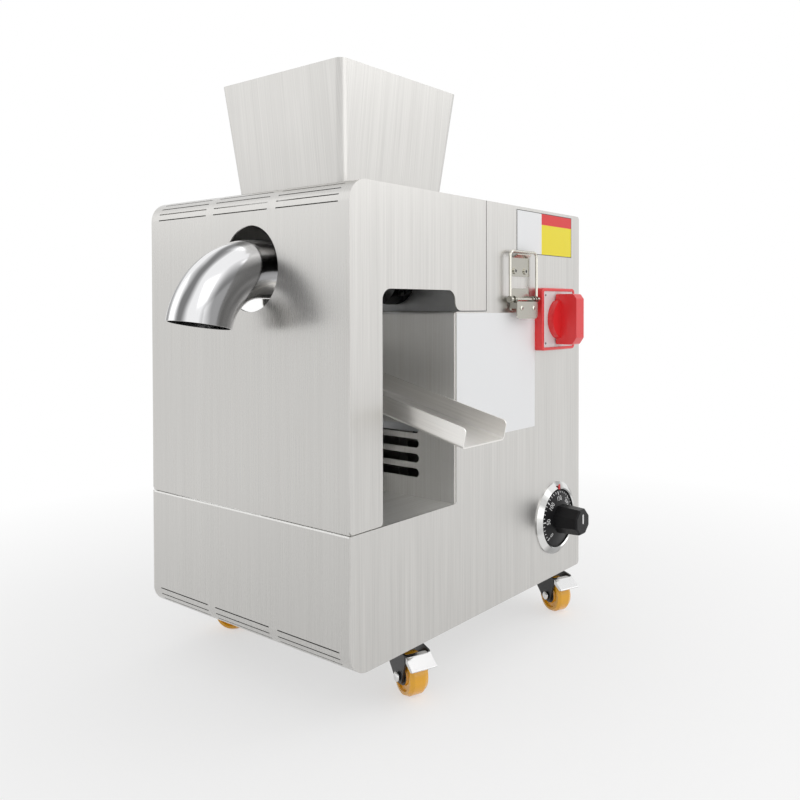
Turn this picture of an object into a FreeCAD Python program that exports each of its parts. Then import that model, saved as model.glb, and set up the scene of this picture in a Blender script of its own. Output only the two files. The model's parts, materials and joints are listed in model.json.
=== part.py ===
import FreeCAD, Part
import math
import os

# Screw oil press: a sheet-metal casing on four braked castors, a hood over the press
# head, a lift-off hopper, and inside it a motor, a two-stage gear train and a screw
# that turns in a slotted cage.
# Millimetres. X to the operator's right, front faces -Y, Z up.
# Origin: centre of the casing's plan, on the floor.

V = FreeCAD.Vector

# ---- casing -------------------------------------------------------------------------
casing_width = 270.0
casing_depth = 344.0
casing_height = 385.0
caster_height = 46.0
sheet = 1.5
seam_gap = 0.8
front_bend_radius = 18.0
rear_bend_radius = 4.0
base_height = 110.0
chamber_depth = 127.0
hood_depth = 173.5
shoulder_drop = 103.6
return_flange = 20.0
roof_lip = 12.0

# ---- bend slots of the hood and the base ---------------------------------------------
slot_rows = 6
slot_width = 0.9
slot_bridge = 11.0
slot_end_margin = 11.0
slot_groups = 3

# ---- openings of the hood and the partition ---------------------------------------------
window_left = 35.3
window_right = 127.2
window_drop = 84.5
window_radius = 9.5
strip_toe_radius = 3.0
cake_hole_radius = 36.7
vent_pitch = 13.65
vent_height = 8.3
vent_length = 75.0
vent_rows = 5
vent_lowest = 22.0
vent_gap = 33.0

# ---- press line --------------------------------------------------------------------------
press_offset = 14.4
press_drop = 67.0
screw_radius = 18.6
screw_clearance = 0.6
screw_root_feed = 9.5
screw_root_middle = 12.0
screw_root_end = 14.5
flight_thickness = 3.2
flight_start = 33.0
feed_pitch = 19.0
middle_pitch = 14.0
end_pitch = 10.5
feed_turns = 2.0
middle_turns = 2.0
end_turns = 2.5
cage_start = 52.0
cage_length = 54.0
cage_radius = 27.0
cage_slots = 14
cage_slot_width = 1.6
cage_slot_length = 28.0
cage_land = 6.0
feed_length = 44.0
neck_length = 26.0
feed_radius = 30.0
throat_size = 34.0
throat_wall = 1.5
throat_back = 22.0
neck_radius = 22.0
neck_flange_radius = 30.0
neck_flange = 8.0
neck_bore_clearance = 2.0
nozzle_reach = 32.0
nozzle_flange = 8.0
cone_length = 10.0
band_width = 13.0
band_thickness = 2.5
band_lug = 12.0

# ---- cake elbow -----------------------------------------------------------------------------
elbow_radius = 25.5
elbow_wall = 1.5
elbow_bend = 57.0
elbow_angle = 80.0
elbow_bend_start = 7.8
elbow_overlap = 14.0
fit_clearance = 0.06

# ---- oil chute --------------------------------------------------------------------------------
chute_width = 54.7
chute_wall_height = 16.5
chute_slope = 13.2
chute_reach = 70.0
chute_length = 268.0
chute_sheet = 1.2
chute_lip_drop = 192.7
bracket_length = 108.0
bracket_start = 14.0
bracket_sheet = 2.0
bracket_gap = 0.3
bracket_foot = 14.0

# ---- hopper ---------------------------------------------------------------------------------------
hopper_top_x = 162.0
hopper_top_y = 150.0
hopper_bottom_x = 140.0
hopper_bottom_y = 128.0
hopper_height = 101.0
hopper_lift = 4.0
hopper_sheet = 1.2
hopper_corner = 7.0
hopper_centre_back = 104.0
funnel_rise = 46.0
funnel_band = 6.0
spout_gap = 0.4
rest_gap = 0.1
throat_depth = 34.0

# ---- drive ----------------------------------------------------------------------------------------
bulkhead = 6.0
gear_module = 2.0
pinion_teeth = 12
wheel_teeth = 48
gear_width = 14.0
gear_backlash = 0.7
gearbox_wall = 6.0
gearbox_front_wall = 8.0
gearbox_cavity = 40.0
gearbox_clearance = 3.0
gearbox_pinion_room = 12.0
gearbox_lug = 15.0
gearbox_lug_depth = 10.0
gearbox_cover_thickness = 8.0
press_shaft_radius = 10.0
press_tail_radius = 7.5
lay_shaft_radius = 7.0
motor_shaft_radius = 7.0
bearing_width = 6.0
bearing_wall = 6.0
motor_radius = 52.0
motor_room = 38.0
motor_wall = 4.0
motor_ribs = 14
rotor_radius = 26.0
rotor_inset = 9.0
air_gap = 0.6
fan_radius = 43.0
fan_width = 9.0
fan_blades = 6
cowl_length = 24.0
cowl_sheet = 1.5
cowl_slots = 10
cowl_slot_width = 6.0
stand_half_width = 46.0
stand_sheet = 2.5
stand_flange = 16.0

# ---- switch and thermostat on the right side --------------------------------------------------------
switch_inset = 57.0
switch_drop = 112.0
switch_size = 64.0
switch_plate_thickness = 9.5
switch_recess = 1.2
switch_body_size = 50.0
switch_body_depth = 46.0
switch_hub_radius = 21.0
switch_hub_height = 7.0
switch_grip_height = 52.0
switch_grip_width = 15.0
switch_grip_reach = 26.0
dial_inset = 49.0
dial_drop = 323.0
dial_ring_radius = 37.7
dial_ring_bore = 30.5
dial_ring_height = 5.0
dial_skirt_radius = 28.8
dial_skirt_height = 5.0
dial_grip_radius = 14.0
dial_reach = 34.0
dial_facets = 8
dial_body_radius = 16.0
dial_body_depth = 32.0
dial_saddle_length = 48.0
dial_saddle_height = 20.0
dial_spindle_radius = 3.0
switch_spindle_radius = 5.6
spindle_gap = 0.5
knob_gap = 0.4

# ---- latch on the right side ----------------------------------------------------------------------
latch_inset = 117.0
keeper_drop = 60.0
keeper_width = 32.0
keeper_height = 19.0
keeper_rise = 3.2
latch_sheet = 1.2
latch_hinge_drop = 84.0
latch_base_width = 30.0
latch_base_height = 22.0
lever_width = 36.0
lever_length = 19.0
wire_radius = 1.4
loop_width = 46.0
latch_pin_radius = 1.8
latch_stand_off = 5.5
latch_ear_radius = 3.0
latch_cover_gap = 0.6
lever_setback = 2.2
lever_cheek_radius = 3.6
loop_corner = 5.0
loop_height = 46.6
loop_gap = 0.5
keeper_shelf = 7.0

# ---- castors --------------------------------------------------------------------------------------
caster_side_inset = 27.5
caster_front_inset = 88.0
caster_rear_inset = 22.0
wheel_radius = 18.0
wheel_width = 17.0
wheel_trail = 16.0
wheel_crown = 2.0
axle_radius = 3.0
fork_sheet = 1.8
fork_gap = 0.8
fork_width = 24.0
stem_radius = 5.0
head_radius = 12.0
head_height = 5.0
swivel_gap = 0.5
pedal_sheet = 1.4
pedal_reach = 17.0
pedal_width = 23.0
pedal_drop = 7.5
pedal_pin_out = 9.5
pedal_pin_up = 18.3
pedal_pin_radius = 1.2
pedal_barrel_radius = 2.3
shoe_gap = 1.6
caster_turns = {
    "front_right": -22.0,
    "rear_right": -22.0,
    "front_left": 208.0,
    "rear_left": 200.0,
}

# ---- rear cover -----------------------------------------------------------------------------------
louvre_rows = 7
louvre_length = 60.0
louvre_height = 5.0
louvre_pitch = 13.0
inlet_width = 27.5
inlet_height = 20.0
inlet_flange = 5.0
inlet_side = -72.0
inlet_up = 62.0

# ---- levels and faces worked out from the sizes above -------------------------------------------------
half_width = casing_width / 2.0
inner_half = half_width - sheet
front = -casing_depth / 2.0
back = casing_depth / 2.0
bottom = caster_height
top = caster_height + casing_height
base_top = bottom + base_height
shoulder = top - shoulder_drop
partition_face = front + chamber_depth
hood_back = front + hood_depth
gear_centre = gear_module * (pinion_teeth + wheel_teeth) / 2.0
press_height = top - press_drop
lay_height = press_height - gear_centre
motor_height = lay_height - gear_centre
cage_front = front + cage_start
cage_back = cage_front + cage_length
feed_back = cage_back + feed_length
bulkhead_face = feed_back + neck_length
gearbox_face = bulkhead_face + bulkhead
cover_face = gearbox_face + gearbox_front_wall + gearbox_cavity
motor_face = cover_face + gearbox_cover_thickness
motor_end = back - motor_room
rotor_start = motor_face + rotor_inset
rotor_length = motor_end - rotor_inset - rotor_start
switch_place = (back - switch_inset, top - switch_drop)
dial_place = (back - dial_inset, top - dial_drop)
latch_middle = back - latch_inset
throat_centre = cage_back + throat_back
cage_bore = screw_radius + screw_clearance
hopper_base = top + hopper_lift
hopper_top = hopper_base + hopper_height
hopper_centre = front + hopper_centre_back
stage_two_start = gearbox_face + gearbox_front_wall + 3.0
stage_one_start = cover_face - gear_width - 6.0


# ---- drawing helpers -----------------------------------------------------------------------------------
def at_x(x):
    return lambda a, b: V(x, a, b)


def at_y(y):
    return lambda a, b: V(a, y, b)


def at_z(z):
    return lambda a, b: V(a, b, z)


def rounded_wire(corners, place):
    """Closed outline through (a, b, radius) corners, each corner rounded by its radius."""
    count = len(corners)
    starts = []
    ends = []
    mids = []
    for i in range(count):
        a, b, radius = corners[i]
        here = V(a, b, 0)
        before = V(corners[i - 1][0], corners[i - 1][1], 0)
        after = V(corners[(i + 1) % count][0], corners[(i + 1) % count][1], 0)
        to_before = (before - here).normalize()
        to_after = (after - here).normalize()
        half = to_before.getAngle(to_after) / 2.0
        reach = radius / math.tan(half) if radius else 0.0
        starts.append(here + to_before * reach)
        ends.append(here + to_after * reach)
        if radius:
            inward = (to_before + to_after).normalize()
            mids.append(here + inward * (radius / math.sin(half) - radius))
        else:
            mids.append(None)
    edges = []
    for i in range(count):
        if mids[i] is not None:
            points = [place(p.x, p.y) for p in (starts[i], mids[i], ends[i])]
            edges.append(Part.Arc(*points).toShape())
        following = starts[(i + 1) % count]
        if (following - ends[i]).Length > 1e-6:
            first = place(ends[i].x, ends[i].y)
            second = place(following.x, following.y)
            edges.append(Part.makeLine(first, second))
    return Part.Wire(edges)


def rounded_face(corners, place):
    return Part.Face(rounded_wire(corners, place))


def slab(x0, x1, y0, y1, z0, z1):
    return Part.makeBox(x1 - x0, y1 - y0, z1 - z0, V(x0, y0, z0))


def bar_y(radius, y0, y1, x, z):
    return Part.makeCylinder(radius, y1 - y0, V(x, y0, z), V(0, 1, 0))


def bar_x(radius, x0, x1, y, z):
    return Part.makeCylinder(radius, x1 - x0, V(x0, y, z), V(1, 0, 0))


def bar_z(radius, z0, z1, x, y):
    return Part.makeCylinder(radius, z1 - z0, V(x, y, z0), V(0, 0, 1))


def stadium(x0, x1, y0, y1, z, height):
    """Round-ended slot cutter along X, lying through a sheet between y0 and y1."""
    radius = height / 2.0
    middle = slab(x0 + radius, x1 - radius, y0, y1, z - radius, z + radius)
    left = bar_y(radius, y0, y1, x0 + radius, z)
    right = bar_y(radius, y0, y1, x1 - radius, z)
    return middle.fuse([left, right])


def bent_strip(path, thickness, inner_radius):
    """Outline of a folded sheet: the outer face follows path, material on its left."""
    outer = []
    inner = []
    count = len(path)
    for i in range(count):
        point = V(path[i][0], path[i][1], 0)
        if i == 0:
            along_in = (V(path[1][0], path[1][1], 0) - point).normalize()
            along_out = along_in
        elif i == count - 1:
            along_in = (point - V(path[i - 1][0], path[i - 1][1], 0)).normalize()
            along_out = along_in
        else:
            along_in = (point - V(path[i - 1][0], path[i - 1][1], 0)).normalize()
            along_out = (V(path[i + 1][0], path[i + 1][1], 0) - point).normalize()
        left_in = V(-along_in.y, along_in.x, 0)
        left_out = V(-along_out.y, along_out.x, 0)
        mitre = left_in + left_out
        mitre = mitre * (thickness / (mitre.dot(left_in)))
        turn = along_in.cross(along_out).z
        inside = point + mitre
        if i in (0, count - 1) or abs(turn) < 1e-6:
            outer.append((point.x, point.y, 0.0))
            inner.append((inside.x, inside.y, 0.0))
        elif turn > 0:
            outer.append((point.x, point.y, inner_radius[i] + thickness))
            inner.append((inside.x, inside.y, inner_radius[i]))
        else:
            outer.append((point.x, point.y, inner_radius[i]))
            inner.append((inside.x, inside.y, inner_radius[i] + thickness))
    return outer + inner[::-1]


def spun_about_x(profile, y, z):
    """Solid of revolution about a line along X; profile is (x, radius) points."""
    points = [V(x, y + r, z) for x, r in profile]
    wire = Part.makePolygon(points + [points[0]])
    return Part.Face(wire).revolve(V(0, y, z), V(1, 0, 0), 360)


def spun_about_y(profile, x, z):
    points = [V(x + r, y, z) for y, r in profile]
    wire = Part.makePolygon(points + [points[0]])
    return Part.Face(wire).revolve(V(x, 0, z), V(0, 1, 0), 360)


# ---- casing sheets ------------------------------------------------------------------------------------
def side_panel(x0):
    """One stepped side of the casing: low base in front, full height behind."""
    deck_y = front + chamber_depth + sheet
    corners = [
        (front, bottom, front_bend_radius),
        (back, bottom, rear_bend_radius),
        (back, top, rear_bend_radius),
        (hood_back, top, 0.0),
        (hood_back, shoulder, 0.0),
        (deck_y, shoulder, 0.0),
        (deck_y, base_top, 2.0),
        (front, base_top, 0.0),
    ]
    return rounded_face(corners, at_x(x0)).extrude(V(sheet, 0, 0))


def right_side_panel():
    """The operator's side, pierced for the spindles of the switch and the thermostat."""
    x0 = inner_half - 1.0
    x1 = half_width + 1.0
    spindles = [
        bar_x(switch_spindle_radius + spindle_gap, x0, x1, *switch_place),
        bar_x(dial_spindle_radius + spindle_gap, x0, x1, *dial_place),
    ]
    return side_panel(inner_half).cut(spindles)


def bend_slot_cutters(centre_y, centre_z, start_angle, step_angle):
    """Rows of narrow slots across a bend, in three groups with bridges between them."""
    run = 2.0 * inner_half - 2.0 * slot_end_margin
    length = (run - (slot_groups - 1) * slot_bridge) / slot_groups
    cutters = []
    for row in range(slot_rows):
        angle = math.radians(start_angle + row * step_angle)
        for group in range(slot_groups):
            x0 = -inner_half + slot_end_margin + group * (length + slot_bridge)
            cutter = Part.makeBox(length, 2.0 * sheet + 2.0, slot_width)
            cutter.translate(V(x0, -(sheet + 1.0), -slot_width / 2.0))
            cutter.rotate(V(0, 0, 0), V(1, 0, 0), -math.degrees(angle))
            radius = front_bend_radius - sheet / 2.0
            y = centre_y - radius * math.cos(angle)
            z = centre_z + radius * math.sin(angle)
            cutter.translate(V(0, y, z))
            cutters.append(cutter)
    return cutters


def base_wrap():
    """Front and floor of the base in one sheet, turned up along the back."""
    path = [
        (back, bottom + return_flange),
        (back, bottom),
        (front, bottom),
        (front, base_top - sheet),
    ]
    radii = [0.0, rear_bend_radius - sheet, front_bend_radius - sheet, 0.0]
    corners = bent_strip([(y, z) for y, z in path[::-1]], sheet, radii[::-1])
    wrap = rounded_face(corners, at_x(-inner_half)).extrude(V(2.0 * inner_half, 0, 0))
    centre_y = front + front_bend_radius
    centre_z = bottom + front_bend_radius
    wrap = wrap.cut(bend_slot_cutters(centre_y, centre_z, 0.0, -18.0))
    for x, y in caster_places().values():
        wrap = wrap.cut(bar_z(stem_radius, bottom - 1.0, bottom + sheet + 1.0, x, y))
    return wrap


def base_deck():
    deck_back = partition_face + sheet
    deck = slab(-inner_half, inner_half, front, deck_back, base_top - sheet, base_top)
    flange = slab(-inner_half + 20.0, inner_half - 20.0, deck_back - sheet, deck_back,
                  base_top - sheet - return_flange, base_top - sheet)
    stiffener = slab(-inner_half + 20.0, inner_half - 20.0, front + sheet, front + 2.0 * sheet,
                     base_top - sheet - return_flange, base_top - sheet)
    return deck.fuse([flange, stiffener])


def partition_panel():
    """Vented wall behind the collecting space, folded back under the hood's shoulder."""
    path = [
        (partition_face, base_top),
        (partition_face, shoulder),
        (bulkhead_face, shoulder),
    ]
    corners = bent_strip(path[::-1], sheet, [0.0, sheet, 0.0])
    panel = rounded_face(corners, at_x(-inner_half)).extrude(V(2.0 * inner_half, 0, 0))
    right_end = half_width - 43.4
    spans = [(right_end - vent_length, right_end)]
    spans.append((spans[0][0] - vent_gap - vent_length, spans[0][0] - vent_gap))
    for row in range(vent_rows):
        z = base_top + vent_lowest + row * vent_pitch
        for x0, x1 in spans:
            panel = panel.cut(stadium(x0, x1, partition_face - 1.0,
                                      partition_face + sheet + 1.0, z, vent_height))
    return panel


def bulkhead_plate():
    """Thick cross plate that carries the press in front and the gearbox behind."""
    floor = bottom + sheet
    roof = top - 2.0 * sheet
    plate = slab(-inner_half, inner_half, bulkhead_face, gearbox_face, floor, roof)
    window = [
        (-inner_half + 30.0, floor + 28.0, 12.0),
        (inner_half - 30.0, floor + 28.0, 12.0),
        (inner_half - 30.0, motor_height - 38.0, 12.0),
        (-inner_half + 30.0, motor_height - 38.0, 12.0),
    ]
    opening = rounded_face(window, at_y(bulkhead_face - 1.0)).extrude(V(0, bulkhead + 2.0, 0))
    shaft_hole = bar_y(press_shaft_radius + neck_bore_clearance, bulkhead_face - 1.0,
                       gearbox_face + 1.0, press_offset, press_height)
    return plate.cut([opening, shaft_hole])


def roof_panel():
    """Rear roof with a joggled lip that carries the hood and a flange down the back."""
    path = [
        (back, top - return_flange),
        (back, top),
        (hood_back, top),
    ]
    corners = bent_strip(path, sheet, [0.0, rear_bend_radius - sheet, 0.0])
    roof = rounded_face(corners, at_x(-inner_half)).extrude(V(2.0 * inner_half, 0, 0))
    lip = slab(-inner_half, inner_half, hood_back - roof_lip, hood_back + roof_lip,
               top - 2.0 * sheet, top - sheet)
    return roof.fuse(lip.cut(throat_cutter()))


def rear_cover():
    y0 = back - 2.0 * sheet
    cover = slab(-inner_half, inner_half, y0, y0 + sheet, bottom + sheet + 6.0,
                 top - sheet - 6.0)
    for row in range(louvre_rows):
        z = motor_height + (row - (louvre_rows - 1) / 2.0) * louvre_pitch
        for side in (-1.0, 1.0):
            centre = press_offset + side * (louvre_length / 2.0 + 6.0)
            cover = cover.cut(stadium(centre - louvre_length / 2.0, centre + louvre_length / 2.0,
                                      y0 - 1.0, y0 + sheet + 1.0, z, louvre_height))
    z = bottom + inlet_up
    hole = slab(inlet_side - inlet_width / 2.0, inlet_side + inlet_width / 2.0, y0 - 1.0,
                y0 + sheet + 1.0, z - inlet_height / 2.0, z + inlet_height / 2.0)
    return cover.cut(hole)


def power_inlet():
    """Recessed appliance inlet with three pins; the lead is a separate thing."""
    y0 = back - sheet
    z = bottom + inlet_up
    half_x = inlet_width / 2.0
    half_z = inlet_height / 2.0
    rim = rounded_face([
        (inlet_side - half_x - inlet_flange, z - half_z - 2.0, 3.0),
        (inlet_side + half_x + inlet_flange, z - half_z - 2.0, 3.0),
        (inlet_side + half_x + inlet_flange, z + half_z + 2.0, 3.0),
        (inlet_side - half_x - inlet_flange, z + half_z + 2.0, 3.0),
    ], at_y(y0)).extrude(V(0, 2.5, 0))
    shell = slab(inlet_side - half_x, inlet_side + half_x, y0 - 20.0, y0, z - half_z, z + half_z)
    body = rim.fuse(shell)
    well = slab(inlet_side - half_x + 2.5, inlet_side + half_x - 2.5, y0 - 15.0, y0 + 3.0,
                z - half_z + 2.5, z + half_z - 2.5)
    body = body.cut(well)
    for x, up in ((-7.0, -1.0), (0.0, 3.0), (7.0, -1.0)):
        pin = slab(inlet_side + x - 1.0, inlet_side + x + 1.0, y0 - 16.0, y0 - 2.0,
                   z + up - 2.0, z + up + 2.0)
        body = body.fuse(pin)
    return body


# ---- hood ---------------------------------------------------------------------------------------------
def throat_cutter():
    """Square way through the top sheets for the hopper's spout."""
    half = throat_size / 2.0 + throat_wall + 2.0
    return slab(press_offset - half, press_offset + half, throat_centre - half,
                throat_centre + half, top - 2.0 * sheet - 1.0, top + 1.0)


def hood_wrap():
    """Front and top of the hood in one sheet, bent on rows of slots."""
    foot = base_top + seam_gap
    rear = hood_back - seam_gap
    path = [(rear, top), (front, top), (front, foot)]
    corners = bent_strip(path, sheet, [0.0, front_bend_radius - sheet, 0.0])
    wrap = rounded_face(corners, at_x(-inner_half)).extrude(V(2.0 * inner_half, 0, 0))
    hole = bar_y(cake_hole_radius, front - 1.0, front + sheet + 1.0, press_offset, press_height)
    wrap = wrap.cut([hole, throat_cutter()])
    centre_y = front + front_bend_radius
    centre_z = top - front_bend_radius
    return wrap.cut(bend_slot_cutters(centre_y, centre_z, 0.0, 18.0))


def hood_side(x0):
    """Side of the hood with the rounded cut-out through which the oil chute leaves."""
    foot = base_top + seam_gap
    rear = hood_back - seam_gap
    tab = shoulder + seam_gap
    corners = [
        (front, foot, strip_toe_radius),
        (front + window_left, foot, strip_toe_radius),
        (front + window_left, top - window_drop, window_radius),
        (front + window_right, top - window_drop, window_radius),
        (front + window_right, tab, window_radius - 1.5),
        (rear, tab, 0.0),
        (rear, top, 0.0),
        (front, top, front_bend_radius),
    ]
    return rounded_face(corners, at_x(x0)).extrude(V(sheet, 0, 0))


# ---- hopper -------------------------------------------------------------------------------------------
def rounded_rectangle(half_x, half_y, radius, centre_y, z):
    corners = [
        (press_offset - half_x, centre_y - half_y, radius),
        (press_offset + half_x, centre_y - half_y, radius),
        (press_offset + half_x, centre_y + half_y, radius),
        (press_offset - half_x, centre_y + half_y, radius),
    ]
    return rounded_wire(corners, at_z(z))


def hopper_half_sizes(z):
    share = (z - hopper_base) / hopper_height
    half_x = (hopper_bottom_x + (hopper_top_x - hopper_bottom_x) * share) / 2.0
    half_y = (hopper_bottom_y + (hopper_top_y - hopper_bottom_y) * share) / 2.0
    return half_x, half_y


def hopper_taper(inset, low, high):
    """Tapered block with the hopper's slope, its walls set in by inset."""
    wires = []
    for z in (low, high):
        half_x, half_y = hopper_half_sizes(z)
        wires.append(rounded_rectangle(half_x - inset, half_y - inset,
                                       hopper_corner - inset, hopper_centre, z))
    return Part.makeLoft(wires, True, True)


def hopper_shell():
    """Four tapered walls with rounded corners, open at the top and the bottom."""
    outer = hopper_taper(0.0, hopper_base, hopper_top)
    inner = hopper_taper(hopper_sheet, hopper_base - 1.0, hopper_top + 1.0)
    return outer.cut(inner)


def rectangle(half_x, half_y, centre_y, z):
    points = [
        V(press_offset - half_x, centre_y - half_y, z),
        V(press_offset + half_x, centre_y - half_y, z),
        V(press_offset + half_x, centre_y + half_y, z),
        V(press_offset - half_x, centre_y + half_y, z),
    ]
    return Part.makePolygon(points + [points[0]])


def hopper_funnel():
    """Creased floor that slopes to a square spout standing in the feed throat."""
    rim_z = hopper_base + funnel_rise
    band_top = rim_z + funnel_band
    half_x, half_y = hopper_half_sizes(rim_z)
    spout_top = hopper_base + 2.0
    spout_low = top - throat_depth + rest_gap

    def block(inset):
        """The whole outline of the floor and the spout, its walls set in by inset."""
        rim = rectangle(half_x - hopper_sheet - inset, half_y - hopper_sheet - inset,
                        hopper_centre, rim_z)
        half = throat_size / 2.0 - inset
        upper = rectangle(half, half, throat_centre, spout_top)
        lower = rectangle(half, half, throat_centre, spout_low - inset)
        room = hopper_taper(hopper_sheet + inset, spout_low - 1.0, band_top + inset)
        slope = Part.makeLoft([upper, rim], True, True).common(room)
        spout = Part.makeLoft([lower, upper], True, True)
        band = hopper_taper(hopper_sheet + inset, rim_z, band_top + inset)
        return slope.fuse([spout, band])
    return block(0.0).cut(block(throat_wall))


# ---- press --------------------------------------------------------------------------------------------
def press_cage():
    """Strainer barrel: a thick bored cylinder between two collars, slotted all round."""
    outer = bar_y(cage_radius, cage_front, cage_back, press_offset, press_height)
    collars = []
    for y0 in (cage_front, cage_back - cage_land):
        collars.append(bar_y(cage_radius + 4.0, y0, y0 + cage_land, press_offset, press_height))
    cage = outer.fuse(collars)
    cage = cage.cut(bar_y(cage_bore, cage_front - 1.0, cage_back + 1.0, press_offset,
                          press_height))
    cutters = []
    y0 = cage_front + cage_land + 2.0
    for i in range(cage_slots):
        cutter = slab(-cage_slot_width / 2.0, cage_slot_width / 2.0, y0, y0 + cage_slot_length,
                      0.0, cage_radius + 2.0)
        cutter.rotate(V(0, 0, 0), V(0, 1, 0), 360.0 * (i + 0.5) / cage_slots)
        cutter.translate(V(press_offset, 0, press_height))
        cutters.append(cutter)
    return cage.cut(cutters)


def feed_body():
    """Cast body over the feed flights, with a square socket for the hopper's spout."""
    barrel = bar_y(feed_radius, cage_back, feed_back, press_offset, press_height)
    half = throat_size / 2.0 + throat_wall + 5.0
    socket_top = top - sheet - 4.0
    tower = slab(press_offset - half, press_offset + half, cage_back, feed_back, press_height,
                 socket_top)
    body = barrel.fuse(tower).removeSplitter()
    inner = throat_size / 2.0 + spout_gap
    well = slab(press_offset - inner, press_offset + inner, throat_centre - inner,
                throat_centre + inner, top - throat_depth, socket_top + 1.0)
    mouth = throat_size / 2.0 - throat_wall
    drop = slab(press_offset - mouth, press_offset + mouth, throat_centre - mouth,
                throat_centre + mouth, press_height, socket_top)
    bore = bar_y(cage_bore, cage_back - 1.0, feed_back + 1.0, press_offset, press_height)
    return body.cut([well, drop, bore])


def drive_neck():
    """Bearing neck between the feed body and the bulkhead, with a round bolting flange."""
    flange_start = bulkhead_face - neck_flange
    seat = press_shaft_radius + bearing_wall
    profile = [
        (feed_back, press_shaft_radius + 1.0),
        (feed_back, neck_radius),
        (flange_start, neck_radius),
        (flange_start, neck_flange_radius),
        (bulkhead_face, neck_flange_radius),
        (bulkhead_face, seat),
        (bulkhead_face - 2.0 * bearing_width, seat),
        (bulkhead_face - 2.0 * bearing_width, press_shaft_radius + 1.0),
    ]
    neck = spun_about_y(profile, press_offset, press_height)
    return neck


def cake_nozzle():
    """Outlet ring on the front of the cage, turned down to carry the elbow."""
    start = cage_front - nozzle_reach
    spigot = elbow_radius - elbow_wall - fit_clearance
    bore = cage_bore
    profile = [
        (start, bore + 1.5),
        (start, spigot),
        (cage_front - nozzle_flange, spigot),
        (cage_front - nozzle_flange, cage_radius + 4.0),
        (cage_front, cage_radius + 4.0),
        (cage_front, bore),
        (start + 8.0, bore),
    ]
    return spun_about_y(profile, press_offset, press_height)


def heater_band():
    """Clamped heating band round the rear of the cage, with its two screw lugs."""
    y1 = cage_back - cage_land - 1.0
    y0 = y1 - band_width
    outer = cage_radius + band_thickness
    band = bar_y(outer, y0, y1, press_offset, press_height)
    lug_x = press_offset
    lug = slab(lug_x - 6.0, lug_x + 6.0, y0, y1, press_height + cage_radius,
               press_height + outer + band_lug)
    band = band.fuse(lug)
    band = band.cut(bar_y(cage_radius, y0 - 1.0, y1 + 1.0, press_offset, press_height))
    split = slab(lug_x - 1.5, lug_x + 1.5, y0 - 1.0, y1 + 1.0, press_height,
                 press_height + outer + band_lug + 1.0)
    screw = bar_x(2.5, lug_x - 10.0, lug_x + 10.0, (y0 + y1) / 2.0,
                  press_height + outer + band_lug / 2.0)
    return band.cut(split).fuse(screw)


def flight(pitch, turns, root, y0):
    """One helical flight about the press line, starting at y0 and running back."""
    helix = Part.makeHelix(pitch, pitch * turns, screw_radius)
    half = flight_thickness / 2.0
    tip = half * 0.62
    inner = root - 1.5
    profile = Part.makePolygon([
        V(inner, 0, -half),
        V(screw_radius, 0, -tip),
        V(screw_radius, 0, tip),
        V(inner, 0, half),
        V(inner, 0, -half),
    ])
    pipe = Part.BRepOffsetAPI.MakePipeShell(Part.Wire(helix))
    pipe.setFrenetMode(True)
    pipe.add(profile)
    pipe.build()
    pipe.makeSolid()
    solid = pipe.shape()
    solid.rotate(V(0, 0, 0), V(0, 0, 1), flight_start)
    solid.rotate(V(0, 0, 0), V(1, 0, 0), -90)
    solid.translate(V(press_offset, y0, press_height))
    return solid


def press_screw():
    """Three-stage press screw: deep feed flights, then tighter ones on a thicker root."""
    end_run = end_pitch * end_turns
    middle_run = middle_pitch * middle_turns
    feed_run = feed_pitch * feed_turns
    end_start = cage_front + 1.0
    middle_start = end_start + end_run
    feed_start = middle_start + middle_run
    feed_end = feed_start + feed_run
    tail_start = stage_two_start + gear_width + 1.0
    tail_end = cover_face + bearing_width
    profile = [
        (end_start - cone_length - 4.0, 0.0),
        (end_start - cone_length - 4.0, 6.0),
        (end_start - 4.0, cage_bore - 2.2),
        (end_start, screw_root_end),
        (middle_start, screw_root_end),
        (middle_start + 3.0, screw_root_middle),
        (feed_start, screw_root_middle),
        (feed_start + 3.0, screw_root_feed),
        (feed_end - 3.0, screw_root_feed),
        (feed_end, press_shaft_radius),
        (tail_start, press_shaft_radius),
        (tail_start, press_tail_radius),
        (tail_end, press_tail_radius),
        (tail_end, 0.0),
    ]
    core = spun_about_y(profile, press_offset, press_height)
    margin = flight_thickness / 2.0
    flights = [
        flight(end_pitch, end_turns, screw_root_end, end_start + margin),
        flight(middle_pitch, middle_turns, screw_root_middle, middle_start + margin),
        flight(feed_pitch, feed_turns - 0.1, screw_root_feed, feed_start + margin),
    ]
    return core.fuse(flights)


def outlet_elbow():
    """Polished tube bend that turns the cake down in front of the machine."""
    start = front + elbow_bend_start
    tail = cage_front - nozzle_reach + elbow_overlap

    def tube(radius):
        circle = Part.Wire(Part.makeCircle(radius, V(press_offset, start, press_height),
                                           V(0, 1, 0)))
        pivot = V(press_offset, start, press_height - elbow_bend)
        bend = Part.Face(circle).revolve(pivot, V(1, 0, 0), elbow_angle)
        straight = bar_y(radius, start, tail, press_offset, press_height)
        return bend, straight
    outer_bend, outer_straight = tube(elbow_radius)
    inner_bend, inner_straight = tube(elbow_radius - elbow_wall)
    bend = outer_bend.cut(inner_bend)
    straight = outer_straight.cut(inner_straight)
    return bend.fuse(straight).removeSplitter()


# ---- oil chute ------------------------------------------------------------------------------------------
def chute_middle():
    return front + (window_left + chamber_depth) / 2.0


def sloped(shape):
    """Tilt a shape drawn level about the chute's outer end and put it in its place."""
    shape.rotate(V(0, 0, 0), V(0, 1, 0), chute_slope)
    shape.translate(V(half_width + chute_reach, chute_middle(), top - chute_lip_drop))
    return shape


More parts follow.
